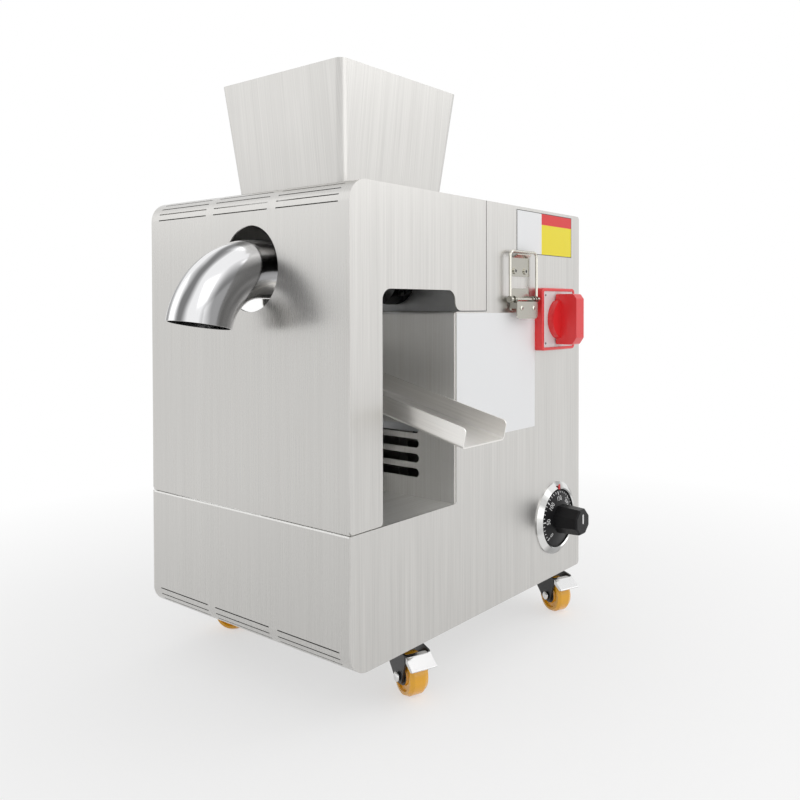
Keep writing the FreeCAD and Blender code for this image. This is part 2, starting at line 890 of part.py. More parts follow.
def oil_chute():
    """Open channel that catches the oil under the cage and carries it out to the right."""
    half = chute_width / 2.0
    corners = bent_strip([(-half, 0.0), (-half, -chute_wall_height), (half, -chute_wall_height),
                          (half, 0.0)], chute_sheet, [0.0, 1.6, 1.6, 0.0])
    channel = rounded_face(corners, at_x(-chute_length)).extrude(V(chute_length, 0, 0))
    end_wall = slab(-chute_length, -chute_length + chute_sheet, -half + chute_sheet,
                    half - chute_sheet, -chute_wall_height + chute_sheet, 0.0)
    channel = channel.fuse(end_wall)
    for side in (-1.0, 1.0):
        corner = Part.makeBox(4.0, 2.0 * chute_sheet + 2.0, 4.0, V(-4.0, -chute_sheet - 1.0, -4.0))
        round_off = Part.makeCylinder(4.0, 2.0 * chute_sheet + 2.0,
                                      V(-4.0, -chute_sheet - 1.0, -4.0), V(0, 1, 0))
        cutter = corner.cut(round_off)
        cutter.translate(V(0, side * (half - chute_sheet / 2.0), 0))
        channel = channel.cut(cutter)
    return sloped(channel)


def chute_bracket():
    """Folded stand on the base deck; its two cheeks hold the chute at its slope."""
    inner = chute_width / 2.0 + bracket_gap
    outer = inner + bracket_sheet
    x0 = -chute_length + bracket_start
    x1 = x0 + bracket_length
    low = -chute_wall_height
    cheeks = []
    for side in (-1.0, 1.0):
        y0 = min(side * inner, side * outer)
        cheek = slab(x0, x1, y0, y0 + bracket_sheet, low - casing_height, 2.5)
        y1 = min(side * (inner - 3.0), side * outer)
        lip = slab(x0, x1, y1, y1 + 3.0 + bracket_sheet, 0.5, 2.5)
        cheeks.append(cheek.fuse(lip))
    ledge = slab(x0, x1, -inner, inner, low - bracket_gap - bracket_sheet, low - bracket_gap)
    stand = sloped(cheeks[0].fuse([cheeks[1], ledge]))
    reach = half_width + chute_reach
    left = reach + (x0 + 8.0) * math.cos(math.radians(chute_slope))
    right = reach + (x1 - 12.0) * math.cos(math.radians(chute_slope))
    middle = chute_middle()
    keep_low = slab(left, right, middle - outer - 1.0, middle + outer + 1.0, base_top, top)
    stand = stand.common(keep_low)
    for side in (-1.0, 1.0):
        y0 = min(side * inner, side * (inner - bracket_foot))
        foot = slab(left, right, middle + y0, middle + y0 + bracket_foot, base_top,
                    base_top + bracket_sheet)
        stand = stand.fuse(foot)
    return stand.removeSplitter()


# ---- gear train -----------------------------------------------------------------------------------------
def gear_face(teeth, phase):
    """Gear outline with straight-sided teeth drawn through root, pitch and tip points."""
    pitch_radius = gear_module * teeth / 2.0
    tip_radius = pitch_radius + gear_module
    root_radius = pitch_radius - 1.25 * gear_module
    step = 2.0 * math.pi / teeth
    half_pitch = (math.pi * gear_module / 2.0 - gear_backlash) / 2.0 / pitch_radius
    pressure = math.tan(math.radians(20.0))
    half_tip = half_pitch - pressure * gear_module * 1.06 / tip_radius
    half_root = half_pitch + pressure * gear_module * 0.9 / root_radius
    half_root = min(half_root, step * 0.36)
    points = []
    for i in range(teeth):
        middle = math.radians(phase) + i * step
        for offset, radius in ((-half_root, root_radius), (-half_pitch, pitch_radius),
                               (-half_tip, tip_radius), (half_tip, tip_radius),
                               (half_pitch, pitch_radius), (half_root, root_radius)):
            angle = middle + offset
            points.append(V(radius * math.cos(angle), 0, radius * math.sin(angle)))
    return Part.Face(Part.makePolygon(points + [points[0]]))


def gear(teeth, phase, y0, width, height):
    solid = gear_face(teeth, phase).extrude(V(0, width, 0))
    solid.translate(V(press_offset, y0, height))
    return solid


def spoked_gear(y0, height, bore, phase):
    """Large gear with a hub, a recessed web and five lightening holes."""
    wheel = gear(wheel_teeth, phase, y0, gear_width, height)
    rim_inner = gear_module * wheel_teeth / 2.0 - 3.2 * gear_module
    hub = bore + 7.0
    web = gear_width * 0.3
    recess_profile = [
        (0.0, hub),
        (0.0, rim_inner),
        (web, rim_inner),
        (web, hub),
    ]
    for shift in (y0, y0 + gear_width - web):
        points = [(y + shift, r) for y, r in recess_profile]
        wheel = wheel.cut(spun_about_y(points, press_offset, height))
    middle = (hub + rim_inner) / 2.0
    holes = []
    for i in range(5):
        angle = 2.0 * math.pi * i / 5.0
        x = press_offset + middle * math.cos(angle)
        z = height + middle * math.sin(angle)
        holes.append(bar_y((rim_inner - hub) * 0.32, y0, y0 + gear_width, x, z))
    holes.append(bar_y(bore, y0 - 1.0, y0 + gear_width + 1.0, press_offset, height))
    return wheel.cut(holes)


def output_gear():
    return spoked_gear(stage_two_start, press_height, press_shaft_radius, -90.0)


def layshaft_gear():
    return spoked_gear(stage_one_start, lay_height, lay_shaft_radius, -90.0)


def meshing_pinion(y0, height):
    """Pinion whose tooth gap points up at the gear above it."""
    phase = 90.0 + 180.0 / pinion_teeth
    return gear(pinion_teeth, phase, y0 - 1.0, gear_width + 2.0, height)


def layshaft_pinion():
    """Layshaft with its pinion cut from the solid."""
    shaft = bar_y(lay_shaft_radius, gearbox_face + 2.0, cover_face + bearing_width,
                  press_offset, lay_height)
    return shaft.fuse(meshing_pinion(stage_two_start, lay_height))


def big_capsule_radius():
    return gear_module * (wheel_teeth + 2) / 2.0 + gearbox_clearance


def small_capsule_radius():
    return gear_module * (pinion_teeth + 2) / 2.0 + gearbox_pinion_room


def capsules(grow, y0, y1):
    """Egg-shaped prism round the three shaft lines."""
    big = big_capsule_radius() + grow
    small = small_capsule_radius() + grow
    x = press_offset
    solid = bar_y(big, y0, y1, x, press_height)
    solid = solid.fuse([
        bar_y(big, y0, y1, x, lay_height),
        bar_y(small, y0, y1, x, motor_height),
        slab(x - big, x + big, y0, y1, lay_height, press_height),
        slab(x - small, x + small, y0, y1, motor_height, lay_height),
    ])
    return solid.removeSplitter()


def bearing_seats():
    """Each seat: shaft height, start along Y, shaft radius."""
    return [
        (press_height, bulkhead_face - 2.0 * bearing_width, press_shaft_radius),
        (press_height, cover_face, press_tail_radius),
        (lay_height, gearbox_face + 2.0, lay_shaft_radius),
        (lay_height, cover_face, lay_shaft_radius),
        (motor_height, motor_face + 1.0, motor_shaft_radius),
        (motor_height, motor_end - bearing_width, motor_shaft_radius),
    ]


def gearbox_housing():
    """Cast gear case bolted to the back of the bulkhead, open towards its cover."""
    outer = capsules(gearbox_wall, gearbox_face, cover_face)
    cavity = capsules(0.0, gearbox_face + gearbox_front_wall, cover_face + 1.0)
    case = outer.cut(cavity)
    press_hole = bar_y(press_shaft_radius + neck_bore_clearance, gearbox_face - 1.0,
                       gearbox_face + gearbox_front_wall + 1.0, press_offset, press_height)
    seat = bar_y(lay_shaft_radius + bearing_wall, gearbox_face + 2.0,
                 gearbox_face + gearbox_front_wall + 1.0, press_offset, lay_height)
    case = case.cut([press_hole, seat])
    reach = small_capsule_radius() + gearbox_wall - 1.0
    lugs = []
    for x0 in (press_offset - reach - gearbox_lug, press_offset + reach):
        lugs.append(slab(x0, x0 + gearbox_lug, gearbox_face, gearbox_face + gearbox_lug_depth,
                         motor_height - 12.0, motor_height + 12.0))
    return case.fuse(lugs).removeSplitter()


def gearbox_cover():
    """Rear cover of the gear case with bearing bosses and the motor's register."""
    plate = capsules(gearbox_wall, cover_face, motor_face)
    cuts = [
        bar_y(press_tail_radius + bearing_wall, cover_face - 1.0, cover_face + bearing_width,
              press_offset, press_height),
        bar_y(lay_shaft_radius + bearing_wall, cover_face - 1.0, cover_face + bearing_width,
              press_offset, lay_height),
        bar_y(motor_shaft_radius + 1.0, cover_face - 1.0, motor_face + 1.0, press_offset,
              motor_height),
    ]
    return plate.cut(cuts)


def shaft_bearings():
    """Ball bearings of the three shafts, each a ring on its own seat."""
    rings = []
    for height, y0, shaft in bearing_seats():
        width = bearing_width if y0 > gearbox_face else 2.0 * bearing_width
        ring = bar_y(shaft + bearing_wall, y0, y0 + width, press_offset, height)
        bore = bar_y(shaft + fit_clearance, y0 - 1.0, y0 + width + 1.0, press_offset, height)
        rings.append(ring.cut(bore))
    return Part.makeCompound(rings)


def motor_housing():
    """Ribbed motor frame with its foot, closed at both ends round the bearings."""
    shell = bar_y(motor_radius, motor_face, motor_end, press_offset, motor_height)
    ribs = []
    for i in range(motor_ribs):
        rib = slab(-1.2, 1.2, motor_face + 8.0, motor_end - 4.0, motor_radius - 2.0,
                   motor_radius + 4.0)
        rib.rotate(V(0, 0, 0), V(0, 1, 0), 360.0 * (i + 0.5) / motor_ribs)
        rib.translate(V(press_offset, 0, motor_height))
        ribs.append(rib)
    foot_bottom = motor_height - motor_radius - 8.0
    foot = slab(press_offset - 36.0, press_offset + 36.0, motor_face + 6.0, motor_end - 8.0,
                foot_bottom, foot_bottom + 30.0)
    body = shell.fuse(ribs + [foot])
    bore = bar_y(motor_radius - motor_wall, motor_face + 7.0, motor_end - bearing_width,
                 press_offset, motor_height)
    front_seat = bar_y(motor_shaft_radius + bearing_wall, motor_face - 1.0, motor_face + 8.0,
                       press_offset, motor_height)
    rear_seat = bar_y(motor_shaft_radius + bearing_wall, motor_end - bearing_width - 1.0,
                      motor_end + 1.0, press_offset, motor_height)
    return body.cut([bore, front_seat, rear_seat])


def motor_stator():
    """Laminated ring with winding slots, pressed into the motor frame."""
    y0 = rotor_start
    y1 = rotor_start + rotor_length
    ring = bar_y(motor_radius - motor_wall, y0, y1, press_offset, motor_height)
    cuts = [bar_y(rotor_radius + air_gap, y0 - 1.0, y1 + 1.0, press_offset, motor_height)]
    for i in range(12):
        slot = slab(-2.5, 2.5, y0 - 1.0, y1 + 1.0, rotor_radius, rotor_radius + 13.0)
        slot.rotate(V(0, 0, 0), V(0, 1, 0), 30.0 * i)
        slot.translate(V(press_offset, 0, motor_height))
        cuts.append(slot)
    return ring.cut(cuts)


def motor_rotor():
    """Rotor core on its shaft, with the first pinion cut on the driving end."""
    fan_end = motor_end + 3.0 + fan_width
    y0 = rotor_start
    shaft = bar_y(motor_shaft_radius, stage_one_start - 3.0, fan_end, press_offset, motor_height)
    core = bar_y(rotor_radius, y0, y0 + rotor_length, press_offset, motor_height)
    return shaft.fuse([core, meshing_pinion(stage_one_start, motor_height)])


def motor_fan():
    y0 = motor_end + 3.0
    hub = bar_y(motor_shaft_radius + 5.0, y0, y0 + fan_width, press_offset, motor_height)
    disc = bar_y(fan_radius, y0, y0 + 1.5, press_offset, motor_height)
    blades = []
    for i in range(fan_blades):
        blade = slab(-0.9, 0.9, y0 + 1.0, y0 + fan_width, motor_shaft_radius + 4.0, fan_radius)
        blade.rotate(V(0, 0, 0), V(0, 1, 0), 360.0 * i / fan_blades)
        blade.translate(V(press_offset, 0, motor_height))
        blades.append(blade)
    fan = hub.fuse([disc] + blades)
    return fan.cut(bar_y(motor_shaft_radius, y0 - 1.0, y0 + fan_width + 1.0, press_offset,
                         motor_height))


def fan_cowl():
    """Cup over the motor's fan with a ring of radial air slots in its end."""
    y1 = motor_end + cowl_length
    radius = motor_radius - 1.0
    cup = bar_y(radius, motor_end, y1, press_offset, motor_height)
    cup = cup.cut(bar_y(radius - cowl_sheet, motor_end - 1.0, y1 - cowl_sheet, press_offset,
                        motor_height))
    slots = []
    for i in range(cowl_slots):
        slot = slab(-cowl_slot_width / 2.0, cowl_slot_width / 2.0, y1 - cowl_sheet - 1.0, y1 + 1.0,
                    16.0, radius - 7.0)
        slot.rotate(V(0, 0, 0), V(0, 1, 0), 360.0 * (i + 0.5) / cowl_slots)
        slot.translate(V(press_offset, 0, motor_height))
        slots.append(slot)
    return cup.cut(slots)


def drive_stand():
    """Folded hat stand on the base floor under the motor's foot."""
    level = motor_height - motor_radius - 8.0
    floor = bottom + sheet
    half = stand_half_width
    path = [
        (press_offset - half - stand_flange, floor + stand_sheet),
        (press_offset - half, floor + stand_sheet),
        (press_offset - half, level),
        (press_offset + half, level),
        (press_offset + half, floor + stand_sheet),
        (press_offset + half + stand_flange, floor + stand_sheet),
    ]
    radii = [0.0, 2.0, 2.5, 2.5, 2.0, 0.0]
    corners = bent_strip(path[::-1], stand_sheet, radii)
    run = motor_end - motor_face - 14.0
    return rounded_face(corners, at_y(motor_face + 6.0)).extrude(V(0, run, 0))


def flange_bolts():
    """Hexagon screws of the neck flange and of the gearbox lugs, as one group."""
    bolts = []
    circle = (neck_radius + neck_flange_radius) / 2.0
    for i in range(4):
        angle = math.radians(45.0 + 90.0 * i)
        x = press_offset + circle * math.cos(angle)
        z = press_height + circle * math.sin(angle)
        y = bulkhead_face - neck_flange
        hexagon = [V(x + 3.4 * math.cos(math.radians(60.0 * k)), y - 3.0,
                     z + 3.4 * math.sin(math.radians(60.0 * k))) for k in range(6)]
        head = Part.Face(Part.makePolygon(hexagon + [hexagon[0]])).extrude(V(0, 3.0, 0))
        bolts.append(head)
    return Part.makeCompound(bolts)


# ---- switch, thermostat and latch ------------------------------------------------------------------------
def switch_plate():
    """Square escutcheon of the rotary switch with a raised frame round its face."""
    y, z = switch_place
    half = switch_size / 2.0
    face = half_width + switch_plate_thickness

    def square(inset, radius, x0, depth):
        corners = [
            (y - half + inset, z - half + inset, radius),
            (y + half - inset, z - half + inset, radius),
            (y + half - inset, z + half - inset, radius),
            (y - half + inset, z + half - inset, radius),
        ]
        return rounded_face(corners, at_x(x0)).extrude(V(depth, 0, 0))
    plate = square(0.0, 4.0, half_width, switch_plate_thickness)
    rim = [edge for edge in plate.Edges if edge.BoundBox.XMin > face - 0.01]
    plate = plate.makeFillet(1.5, rim)
    recess = square(3.0, 2.0, face - switch_recess, switch_recess + 1.0)
    shaft = bar_x(switch_spindle_radius + spindle_gap, half_width - 1.0, face + 1.0, y, z)
    return plate.cut([recess, shaft])


def switch_body():
    """Contact block of the rotary switch behind the side panel."""
    y, z = switch_place
    half = switch_body_size / 2.0
    block = slab(half_width - sheet - switch_body_depth, half_width - sheet, y - half, y + half,
                 z - half, z + half)
    grooves = []
    for i in range(3):
        x0 = half_width - sheet - switch_body_depth + 9.0 + i * 12.0
        ring = slab(x0, x0 + 1.5, y - half - 1.0, y + half + 1.0, z - half - 1.0, z + half + 1.0)
        core = slab(x0 - 1.0, x0 + 2.5, y - half + 2.0, y + half - 2.0, z - half + 2.0,
                    z + half - 2.0)
        grooves.append(ring.cut(core))
    shaft = bar_x(switch_spindle_radius + spindle_gap, inner_half - 10.0, half_width, y, z)
    return block.cut(grooves + [shaft])


def switch_knob():
    """Round hub with a broad upright grip, its outer corners sloped off."""
    y, z = switch_place
    face = half_width + switch_plate_thickness - switch_recess + knob_gap
    hub = bar_x(switch_hub_radius, face, face + switch_hub_height, y, z)
    spindle = bar_x(switch_spindle_radius, half_width - 8.0, face + 1.0, y, z)
    half = switch_grip_height / 2.0
    reach = face + switch_grip_reach
    profile = [
        (face + 1.5, z - half, 1.5),
        (reach - 5.0, z - half, 3.0),
        (reach, z - half + 7.0, 2.5),
        (reach, z + half - 5.0, 2.5),
        (reach - 4.0, z + half, 3.0),
        (face + 1.5, z + half, 1.5),
    ]
    grip_y = y - switch_grip_width / 2.0
    grip = rounded_face(profile, lambda a, b: V(a, grip_y, b)).extrude(V(0, switch_grip_width, 0))
    return hub.fuse([spindle, grip]).removeSplitter()


def dial_ring():
    """Bright fixed bezel round the thermostat knob."""
    profile = [
        (half_width, dial_ring_bore),
        (half_width + dial_ring_height - 1.0, dial_ring_bore),
        (half_width + dial_ring_height, dial_ring_bore + 1.2),
        (half_width + 1.2, dial_ring_radius),
        (half_width, dial_ring_radius),
    ]
    return spun_about_x(profile, *dial_place)


def dial_backplate():
    """Thin disc inside the bezel, with the spindle hole."""
    y, z = dial_place
    disc = bar_x(dial_ring_bore, half_width, half_width + 1.5, y, z)
    shaft = bar_x(dial_spindle_radius + spindle_gap, half_width - 1.0, half_width + 3.0, y, z)
    return disc.cut(shaft)


def thermostat_body():
    """Capillary thermostat behind the side panel."""
    y, z = dial_place
    inner = half_width - sheet
    can = bar_x(dial_body_radius, inner - dial_body_depth, inner, y, z)
    reach = dial_saddle_length / 2.0
    rise = dial_saddle_height / 2.0
    saddle = slab(inner - 3.0, inner, y - reach, y + reach, z - rise, z + rise)
    terminals = []
    for side in (-8.0, 8.0):
        terminals.append(slab(inner - dial_body_depth - 8.0, inner - dial_body_depth,
                              y + side - 3.0, y + side + 3.0, z - 0.5, z + 0.5))
    body = can.fuse([saddle] + terminals)
    shaft = bar_x(dial_spindle_radius + spindle_gap, inner - 12.0, inner + 1.0, y, z)
    return body.cut(shaft)


def thermostat_knob():
    """Skirted knob: a coned skirt for the scale and an eight-sided tapered grip."""
    y, z = dial_place
    x0 = half_width + 2.0
    skirt = spun_about_x([
        (x0, 0.0),
        (x0, dial_skirt_radius),
        (x0 + 1.0, dial_skirt_radius),
        (x0 + dial_skirt_height, dial_grip_radius),
        (x0 + dial_skirt_height, 0.0),
    ], y, z)

    def octagon(radius, x):
        points = []
        for k in range(dial_facets):
            angle = math.radians(360.0 / dial_facets * (k + 0.5))
            points.append(V(x, y + radius * math.cos(angle), z + radius * math.sin(angle)))
        return Part.makePolygon(points + [points[0]])
    tip = half_width + dial_reach
    grip = Part.makeLoft([octagon(dial_grip_radius + 1.5, x0 + 2.0),
                          octagon(dial_grip_radius, tip - 1.5),
                          octagon(dial_grip_radius - 1.5, tip)], True, True)
    spindle = bar_x(dial_spindle_radius, half_width - 10.0, x0 + 1.0, y, z)
    return skirt.fuse([grip, spindle])


def latch_keeper():
    """Small plate with two screw heads and a sloping lip that the wire loop passes over."""
    y = latch_middle
    z = top - keeper_drop
    x = half_width
    half = keeper_width / 2.0
    plate = rounded_face([
        (y - half, z - keeper_height / 2.0, 2.0),
        (y + half, z - keeper_height / 2.0, 2.0),
        (y + half, z + keeper_height / 2.0, 2.0),
        (y - half, z + keeper_height / 2.0, 2.0),
    ], at_x(x)).extrude(V(latch_sheet, 0, 0))
    lip_top = z + keeper_height / 2.0
    lip = rounded_face([
        (x, lip_top - latch_sheet, 0.0),
        (x + keeper_shelf, lip_top + keeper_rise - latch_sheet, 0.4),
        (x + keeper_shelf - 0.5, lip_top + keeper_rise, 0.4),
        (x, lip_top, 0.0),
    ], lambda a, b: V(a, y - half + 4.0, b)).extrude(V(0, keeper_width - 8.0, 0))
    heads = []
    for side in (-9.0, 9.0):
        heads.append(bar_x(3.2, x + latch_sheet, x + latch_sheet + 1.4, y + side, z - 4.0))
    return plate.fuse([lip] + heads)


def latch_axis():
    """Where the lever turns: its distance out from the side and its height."""
    return half_width + latch_stand_off, top - latch_hinge_drop - 8.0


def latch_base():
    """Base plate with two ears that hold the lever's pin."""
    y = latch_middle
    x, z = latch_axis()
    half = latch_base_width / 2.0
    plate = rounded_face([
        (y - half, z - latch_base_height / 2.0, 3.0),
        (y + half, z - latch_base_height / 2.0, 3.0),
        (y + half, z + latch_base_height / 2.0, 3.0),
        (y - half, z + latch_base_height / 2.0, 3.0),
    ], at_x(half_width)).extrude(V(latch_sheet, 0, 0))
    ears = []
    for y0 in (y - half, y + half - latch_sheet):
        ear = slab(half_width, x, y0, y0 + latch_sheet, z - latch_ear_radius,
                   z + latch_ear_radius)
        tip = Part.makeCylinder(latch_ear_radius, latch_sheet, V(x, y0, z), V(0, 1, 0))
        ears.append(ear.fuse(tip))
    reach = loop_width / 2.0 + wire_radius + 0.6
    pin = bar_y(latch_pin_radius, y - reach, y + reach, x, z)
    return plate.fuse(ears + [pin])


def latch_lever():
    """Pressed lever that hangs over its base, with round-ended cheeks on the pin."""
    y = latch_middle
    x, z = latch_axis()
    half = lever_width / 2.0
    cover_x = x + latch_ear_radius + latch_cover_gap
    cover = rounded_face([
        (y - half, z - lever_length, 4.0),
        (y + half, z - lever_length, 4.0),
        (y + half, z - lever_setback, 0.8),
        (y - half, z - lever_setback, 0.8),
    ], at_x(cover_x)).extrude(V(latch_sheet, 0, 0))
    cheeks = []
    for y0 in (y - half, y + half - latch_sheet):
        cheeks.append(slab(x - lever_cheek_radius, cover_x + latch_sheet / 2.0, y0,
                           y0 + latch_sheet, z - 9.0, z - lever_setback))
        cheeks.append(bar_y(lever_cheek_radius, y0, y0 + latch_sheet, x, z))
    curl = slab(cover_x - 2.0, cover_x, y - 9.0, y + 9.0, z - lever_length,
                z - lever_length + latch_sheet)
    lever = cover.fuse(cheeks + [curl])
    bore = bar_y(latch_pin_radius + fit_clearance, y - half - 1.0, y + half + 1.0, x, z)
    return lever.cut(bore)


def latch_loop():
    """Wire bail that turns on the same pin: two legs with eyes, two bends and a crown."""
    y = latch_middle
    x, z = latch_axis()
    half = loop_width / 2.0
    shoulder_z = z + loop_height - loop_corner
    parts = []
    for side in (-1.0, 1.0):
        leg_y = y + side * half
        centre = V(x, leg_y - side * loop_corner, shoulder_z)
        section = Part.Face(Part.Wire(Part.makeCircle(wire_radius, V(x, leg_y, shoulder_z),
                                                      V(0, 0, 1))))
        parts.append(section.revolve(centre, V(side, 0, 0), 90))
        parts.append(bar_z(wire_radius, z + 2.0, shoulder_z, x, leg_y))
        parts.append(bar_y(3.4, leg_y - wire_radius, leg_y + wire_radius, x, z))
    crown = bar_y(wire_radius, y - half + loop_corner, y + half - loop_corner, x,
                  z + loop_height)
    bail = crown.fuse(parts)
    hole = bar_y(latch_pin_radius + fit_clearance, y - half - 4.0, y + half + 4.0, x, z)
    return bail.cut(hole)


# ---- castors --------------------------------------------------------------------------------------------
def caster_places():
    side = half_width - caster_side_inset
    return {
        "front_right": (side, front + caster_front_inset),
        "rear_right": (side, back - caster_rear_inset),
        "front_left": (-side, front + caster_front_inset),
        "rear_left": (-side, back - caster_rear_inset),
    }


def placed(shape, name):
    """Turn a caster piece drawn trailing along +X and set it under its corner."""
    x, y = caster_places()[name]
    shape = shape.copy()
    shape.rotate(V(0, 0, 0), V(0, 0, 1), caster_turns[name])
    shape.translate(V(x, y, 0))
    return shape


def pedal_pin():
    """Where the pedal's pin lies in the drawing of a castor: outward, upward."""
    return wheel_trail + pedal_pin_out, wheel_radius + pedal_pin_up


def caster_fork():
    """Pressed fork: a round swivel head, a bridge, two tapering cheeks and two pins."""
    head_z = bottom - swivel_gap
    head = bar_z(head_radius, head_z - head_height, head_z, 0, 0)
    half = fork_width / 2.0
    axle_z = wheel_radius
    bridge_z = head_z - head_height
    pin_x, pin_z = pedal_pin()
    cheek = [
        (-head_radius, bridge_z, 1.0),
        (-head_radius + 2.0, bridge_z - 9.0, 4.0),
        (wheel_trail - 5.5, axle_z - 5.5, 4.0),
        (wheel_trail + 5.5, axle_z - 5.5, 4.0),
        (pin_x + 3.2, pin_z - 3.0, 2.0),
        (pin_x + 3.2, pin_z + 3.2, 2.0),
        (wheel_trail + 1.0, bridge_z, 1.0),
    ]
    cheeks = []
    for y0 in (-half, half - fork_sheet):
        cheeks.append(rounded_face(cheek, at_y(y0)).extrude(V(0, fork_sheet, 0)))
    bridge = slab(-head_radius, wheel_trail - 6.0, -half, half, bridge_z - fork_sheet, bridge_z)
    axle = bar_y(axle_radius, -half - 1.5, half + 1.5, wheel_trail, axle_z)
    pin = bar_y(pedal_pin_radius, -half, half, pin_x, pin_z)
    fork = head.fuse(cheeks + [bridge, axle, pin])
    stem_hole = bar_z(stem_radius + fit_clearance, bridge_z - fork_sheet - 1.0, head_z + 1.0, 0, 0)
    return fork.cut(stem_hole)


def caster_wheel():
    """Crowned wheel with a recessed hub face and a plain bore."""
    half = wheel_width / 2.0
    recess = half - 2.0
    profile = [(-half, axle_radius + fit_clearance), (-half, wheel_radius - 10.0)]
    profile += [(-recess, wheel_radius - 9.0), (-recess, wheel_radius - 5.5)]
    profile += [(-half, wheel_radius - 4.5), (-half, wheel_radius - wheel_crown)]
    profile += [(-half + 3.5, wheel_radius)]
    profile += [(-y, radius) for y, radius in profile[::-1]]
    return spun_about_y(profile, wheel_trail, wheel_radius)


def caster_pedal():
    """Pressed brake pedal: a barrel on the fork's pin, a sloping tread and a brake shoe."""
    x, z = pedal_pin()
    half = pedal_width / 2.0
    neck = fork_width / 2.0 - fork_sheet - fork_gap
    step = x + 4.0
    level = z + pedal_barrel_radius
    barrel = bar_y(pedal_barrel_radius, -neck, neck, x, z)
    arm = slab(x, step + 1.0, -neck, neck, level - pedal_sheet, level)
    tread = rounded_face([
        (step, level, 0.0),
        (x + pedal_reach, level - pedal_drop, 0.6),
        (x + pedal_reach - 0.7, level - pedal_drop - pedal_sheet, 0.5),
        (step, level - pedal_sheet, 0.0),
    ], at_y(-half)).extrude(V(0, 2.0 * half, 0))
    flanges = []
    for y0 in (-half, half - pedal_sheet):
        flanges.append(rounded_face([
            (step, level - 0.5, 0.0),
            (x + pedal_reach - 2.0, level - pedal_drop + 0.3, 0.0),
            (x + pedal_reach - 3.0, level - pedal_drop - 2.2, 1.0),
            (step, level - 4.5, 1.0),
        ], at_y(y0)).extrude(V(0, pedal_sheet, 0)))
    shoe_points = []
    for reach, degrees in ((0.0, 58.0), (0.0, 46.0), (3.5, 46.0), (3.0, 58.0)):
        angle = math.radians(degrees)
        radius = wheel_radius + shoe_gap + reach
        shoe_points.append((wheel_trail + radius * math.cos(angle),
                            wheel_radius + radius * math.sin(angle), 0.0))
    shoe = rounded_face(shoe_points, at_y(-neck)).extrude(V(0, 2.0 * neck, 0))
    web = slab(x, step, -neck, neck, z - 0.5, level)
    pedal = barrel.fuse([arm, tread, shoe, web] + flanges)
    bore = bar_y(pedal_pin_radius + fit_clearance, -half - 1.0, half + 1.0, x, z)
    return pedal.cut(bore)


def caster_stems():
    """Threaded stems of the four castors with the nuts and washers that hold them."""
    stems = []
    for name in caster_places():
        stem = bar_z(stem_radius, bottom - head_height - 3.5, bottom + sheet + 12.0, 0, 0)
        points = [V(7.5 * math.cos(math.radians(60.0 * k)), 7.5 * math.sin(math.radians(60.0 * k)),
                    bottom + sheet + 1.2) for k in range(6)]
        nut = Part.Face(Part.makePolygon(points + [points[0]])).extrude(V(0, 0, 6.0))
        washer = bar_z(10.0, bottom + sheet, bottom + sheet + 1.2, 0, 0)
        stems.append(placed(stem.fuse([nut, washer]), name))
    return Part.makeCompound(stems)


# ---- write every piece ------------------------------------------------------------------------------------
def pieces():
    parts = {
        "base_wrap": base_wrap(),
        "base_deck": base_deck(),
        "right_side_panel": right_side_panel(),
        "left_side_panel": side_panel(-half_width),
        "partition_panel": partition_panel(),
        "bulkhead_plate": bulkhead_plate(),
        "roof_panel": roof_panel(),
        "rear_cover": rear_cover(),
        "power_inlet": power_inlet(),
        "hood_wrap": hood_wrap(),
        "hood_right_side": hood_side(inner_half),
        "hood_left_side": hood_side(-half_width),
        "hopper_shell": hopper_shell(),
        "hopper_funnel": hopper_funnel(),
        "press_cage": press_cage(),
        "feed_body": feed_body(),
        "drive_neck": drive_neck(),
        "cake_nozzle": cake_nozzle(),
        "heater_band": heater_band(),
        "press_screw": press_screw(),
        "outlet_elbow": outlet_elbow(),
        "oil_chute": oil_chute(),
        "chute_bracket": chute_bracket(),
        "output_gear": output_gear(),
        "layshaft_gear": layshaft_gear(),
        "layshaft_pinion": layshaft_pinion(),
        "gearbox_housing": gearbox_housing(),
        "gearbox_cover": gearbox_cover(),
        "shaft_bearings": shaft_bearings(),
        "motor_housing": motor_housing(),
        "motor_stator": motor_stator(),
        "motor_rotor": motor_rotor(),
        "motor_fan": motor_fan(),
        "fan_cowl": fan_cowl(),
        "drive_stand": drive_stand(),
        "flange_bolts": flange_bolts(),
        "switch_plate": switch_plate(),
        "switch_body": switch_body(),
        "switch_knob": switch_knob(),
        "dial_ring": dial_ring(),
        "dial_backplate": dial_backplate(),
        "thermostat_body": thermostat_body(),
        "thermostat_knob": thermostat_knob(),
        "latch_keeper": latch_keeper(),
        "latch_base": latch_base(),
        "latch_lever": latch_lever(),
        "latch_loop": latch_loop(),
        "caster_stems": caster_stems(),
    }
    for name in caster_places():
        parts["caster_fork_" + name] = placed(caster_fork(), name)
        parts["caster_wheel_" + name] = placed(caster_wheel(), name)
        parts["caster_pedal_" + name] = placed(caster_pedal(), name)
    return parts


os.makedirs("parts", exist_ok=True)
for node, solid in pieces().items():
    solid.exportStep("parts/" + node + ".step")
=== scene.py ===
import json
import math

import bmesh
import bpy
from mathutils import Matrix, Vector


